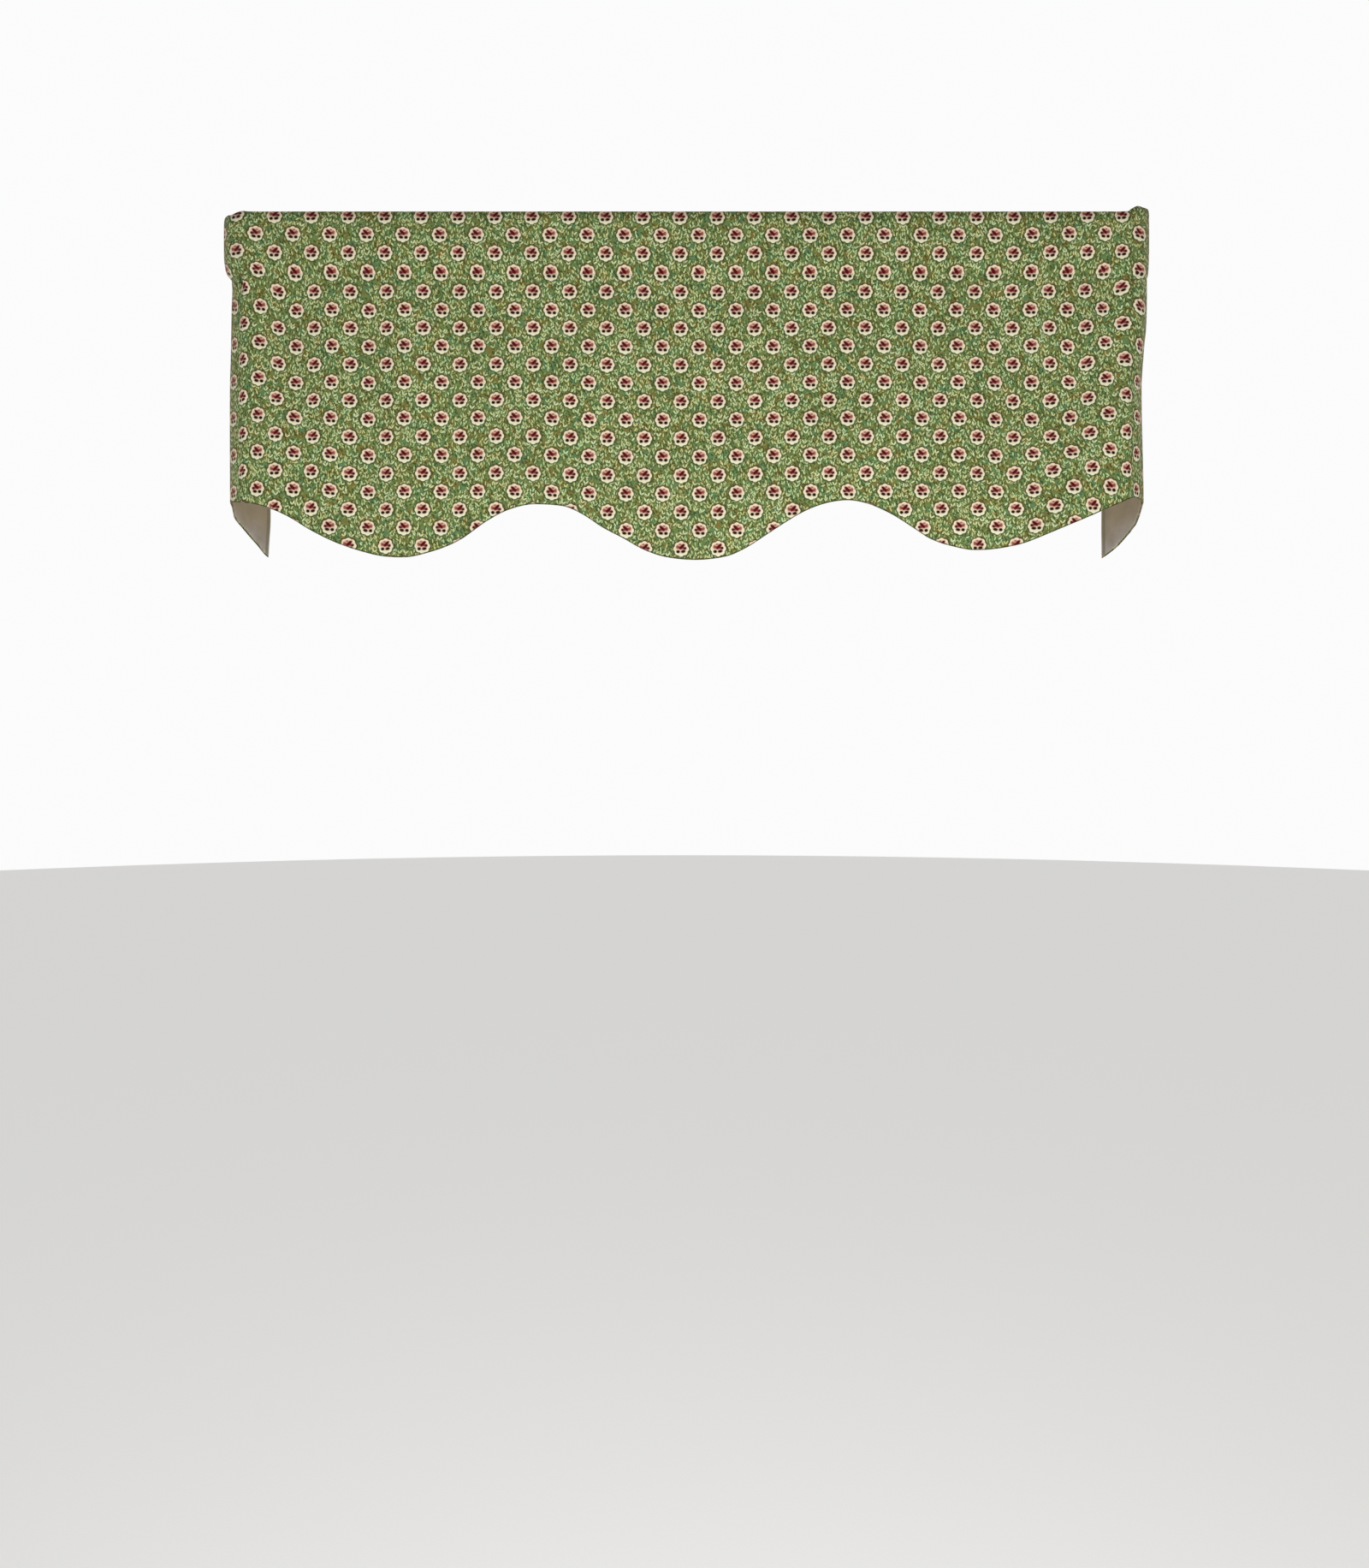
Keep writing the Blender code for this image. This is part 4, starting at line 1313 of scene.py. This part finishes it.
@dataclass(frozen=True)
class Studio:
    """The pale floor, the white surround, the soft lights, and the camera."""

    floor_z: float = -1.75
    floor_radius: float = 14.0
    paper: StudioPaper = StudioPaper()
    target: Point = (0.0, 0.0, -0.25)
    lights: tuple[Softbox, ...] = (
        Softbox("front_light", (1.2, -2.2, 0.2), 1.2, 1.2, 1.5),
        Softbox("low_light", (0.06, -1.2, -1.2), 1.4, 0.7, 18.0),
    )
    # How bright the surround is, by how far back, sideways or up one looks: between the first two
    # numbers it changes from the third to the fourth. The three are multiplied.
    surround_back: tuple[float, ...] = (-0.4, 0.4, 0.66, 0.97)  # in front the soft lights add theirs
    surround_side: tuple[float, ...] = (0.56, 0.9, 1.0, 0.52)  # flags hold light off the sides
    surround_top: tuple[float, ...] = (0.62, 0.92, 1.0, 0.8)
    camera_place: Point = (-0.0016, -1.3015, -0.710)
    lens: float = 24.07
    film: float = 36.0

    def build(self) -> None:
        """Set up the floor, the surround, the lights and the camera."""
        around = np.linspace(0, 2 * math.pi, 97)[:-1]
        rings = (1.0, 3.0, self.floor_radius)
        points = [(0.0, 0.0, self.floor_z)]
        points += [(r * math.cos(a), r * math.sin(a), self.floor_z) for r in rings for a in around]
        n = len(around)
        faces = [(0, 1 + k, 1 + (k + 1) % n) for k in range(n)]
        faces += [
            (1 + i * n + k, 1 + (i + 1) * n + k, 1 + (i + 1) * n + (k + 1) % n, 1 + i * n + (k + 1) % n)
            for i in range(len(rings) - 1) for k in range(n)
        ]
        mesh = bpy.data.meshes.new("studio_floor")
        mesh.from_pydata(points, [], faces)
        mesh.materials.append(self.paper.material())
        floor = bpy.data.objects.new("studio_floor", mesh)
        bpy.context.collection.objects.link(floor)
        for light in self.lights:
            light.build(self.target)
        world = bpy.data.worlds.new("studio_surround")
        world.use_nodes = True
        add = partial(node, world.node_tree)
        across, away, up = add("SeparateXYZ", add("TexCoord")[0])
        across = add("Math ABSOLUTE", across)
        side = add("MapRange SMOOTHSTEP", across, *self.surround_side)
        strength = add("MapRange SMOOTHSTEP", away, *self.surround_back)
        top = add("MapRange SMOOTHSTEP", up, *self.surround_top)
        for share in (side, top):
            strength = add("Math MULTIPLY", strength, share)
        surround = world.node_tree.nodes["Background"]
        surround.inputs["Color"].default_value = (1.0, 1.0, 1.0, 1.0)
        world.node_tree.links.new(strength, surround.inputs["Strength"])
        scene = bpy.context.scene
        scene.world = world
        scene.view_settings.view_transform = "Standard"
        data = bpy.data.cameras.new("photo_camera")
        data.lens, data.sensor_width = self.lens, self.film
        camera = bpy.data.objects.new("photo_camera", data)
        camera.location = self.camera_place
        camera.rotation_euler = (math.pi / 2, 0.0, 0.0)
        bpy.context.collection.objects.link(camera)
        scene.camera = camera


def main() -> None:
    logging.basicConfig(level=logging.INFO, format="%(message)s")
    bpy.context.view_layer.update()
    shape = HangingShape()

    face = FaceCloth(shape).build()
    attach(face, "root")
    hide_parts("face_cloth")
    log.info("face cloth: %d faces", len(face.data.polygons))

    lining = Lining(shape).build()
    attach(lining, "root")
    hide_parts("lining")
    log.info("lining: %d faces", len(lining.data.polygons))

    stitching = PocketStitching(shape).build()
    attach(stitching, "root")
    log.info("pocket stitching: %d faces", len(stitching.data.polygons))

    Studio().build()
    log.info("studio: floor, lights and camera")


if __name__ == "__main__":
    main()
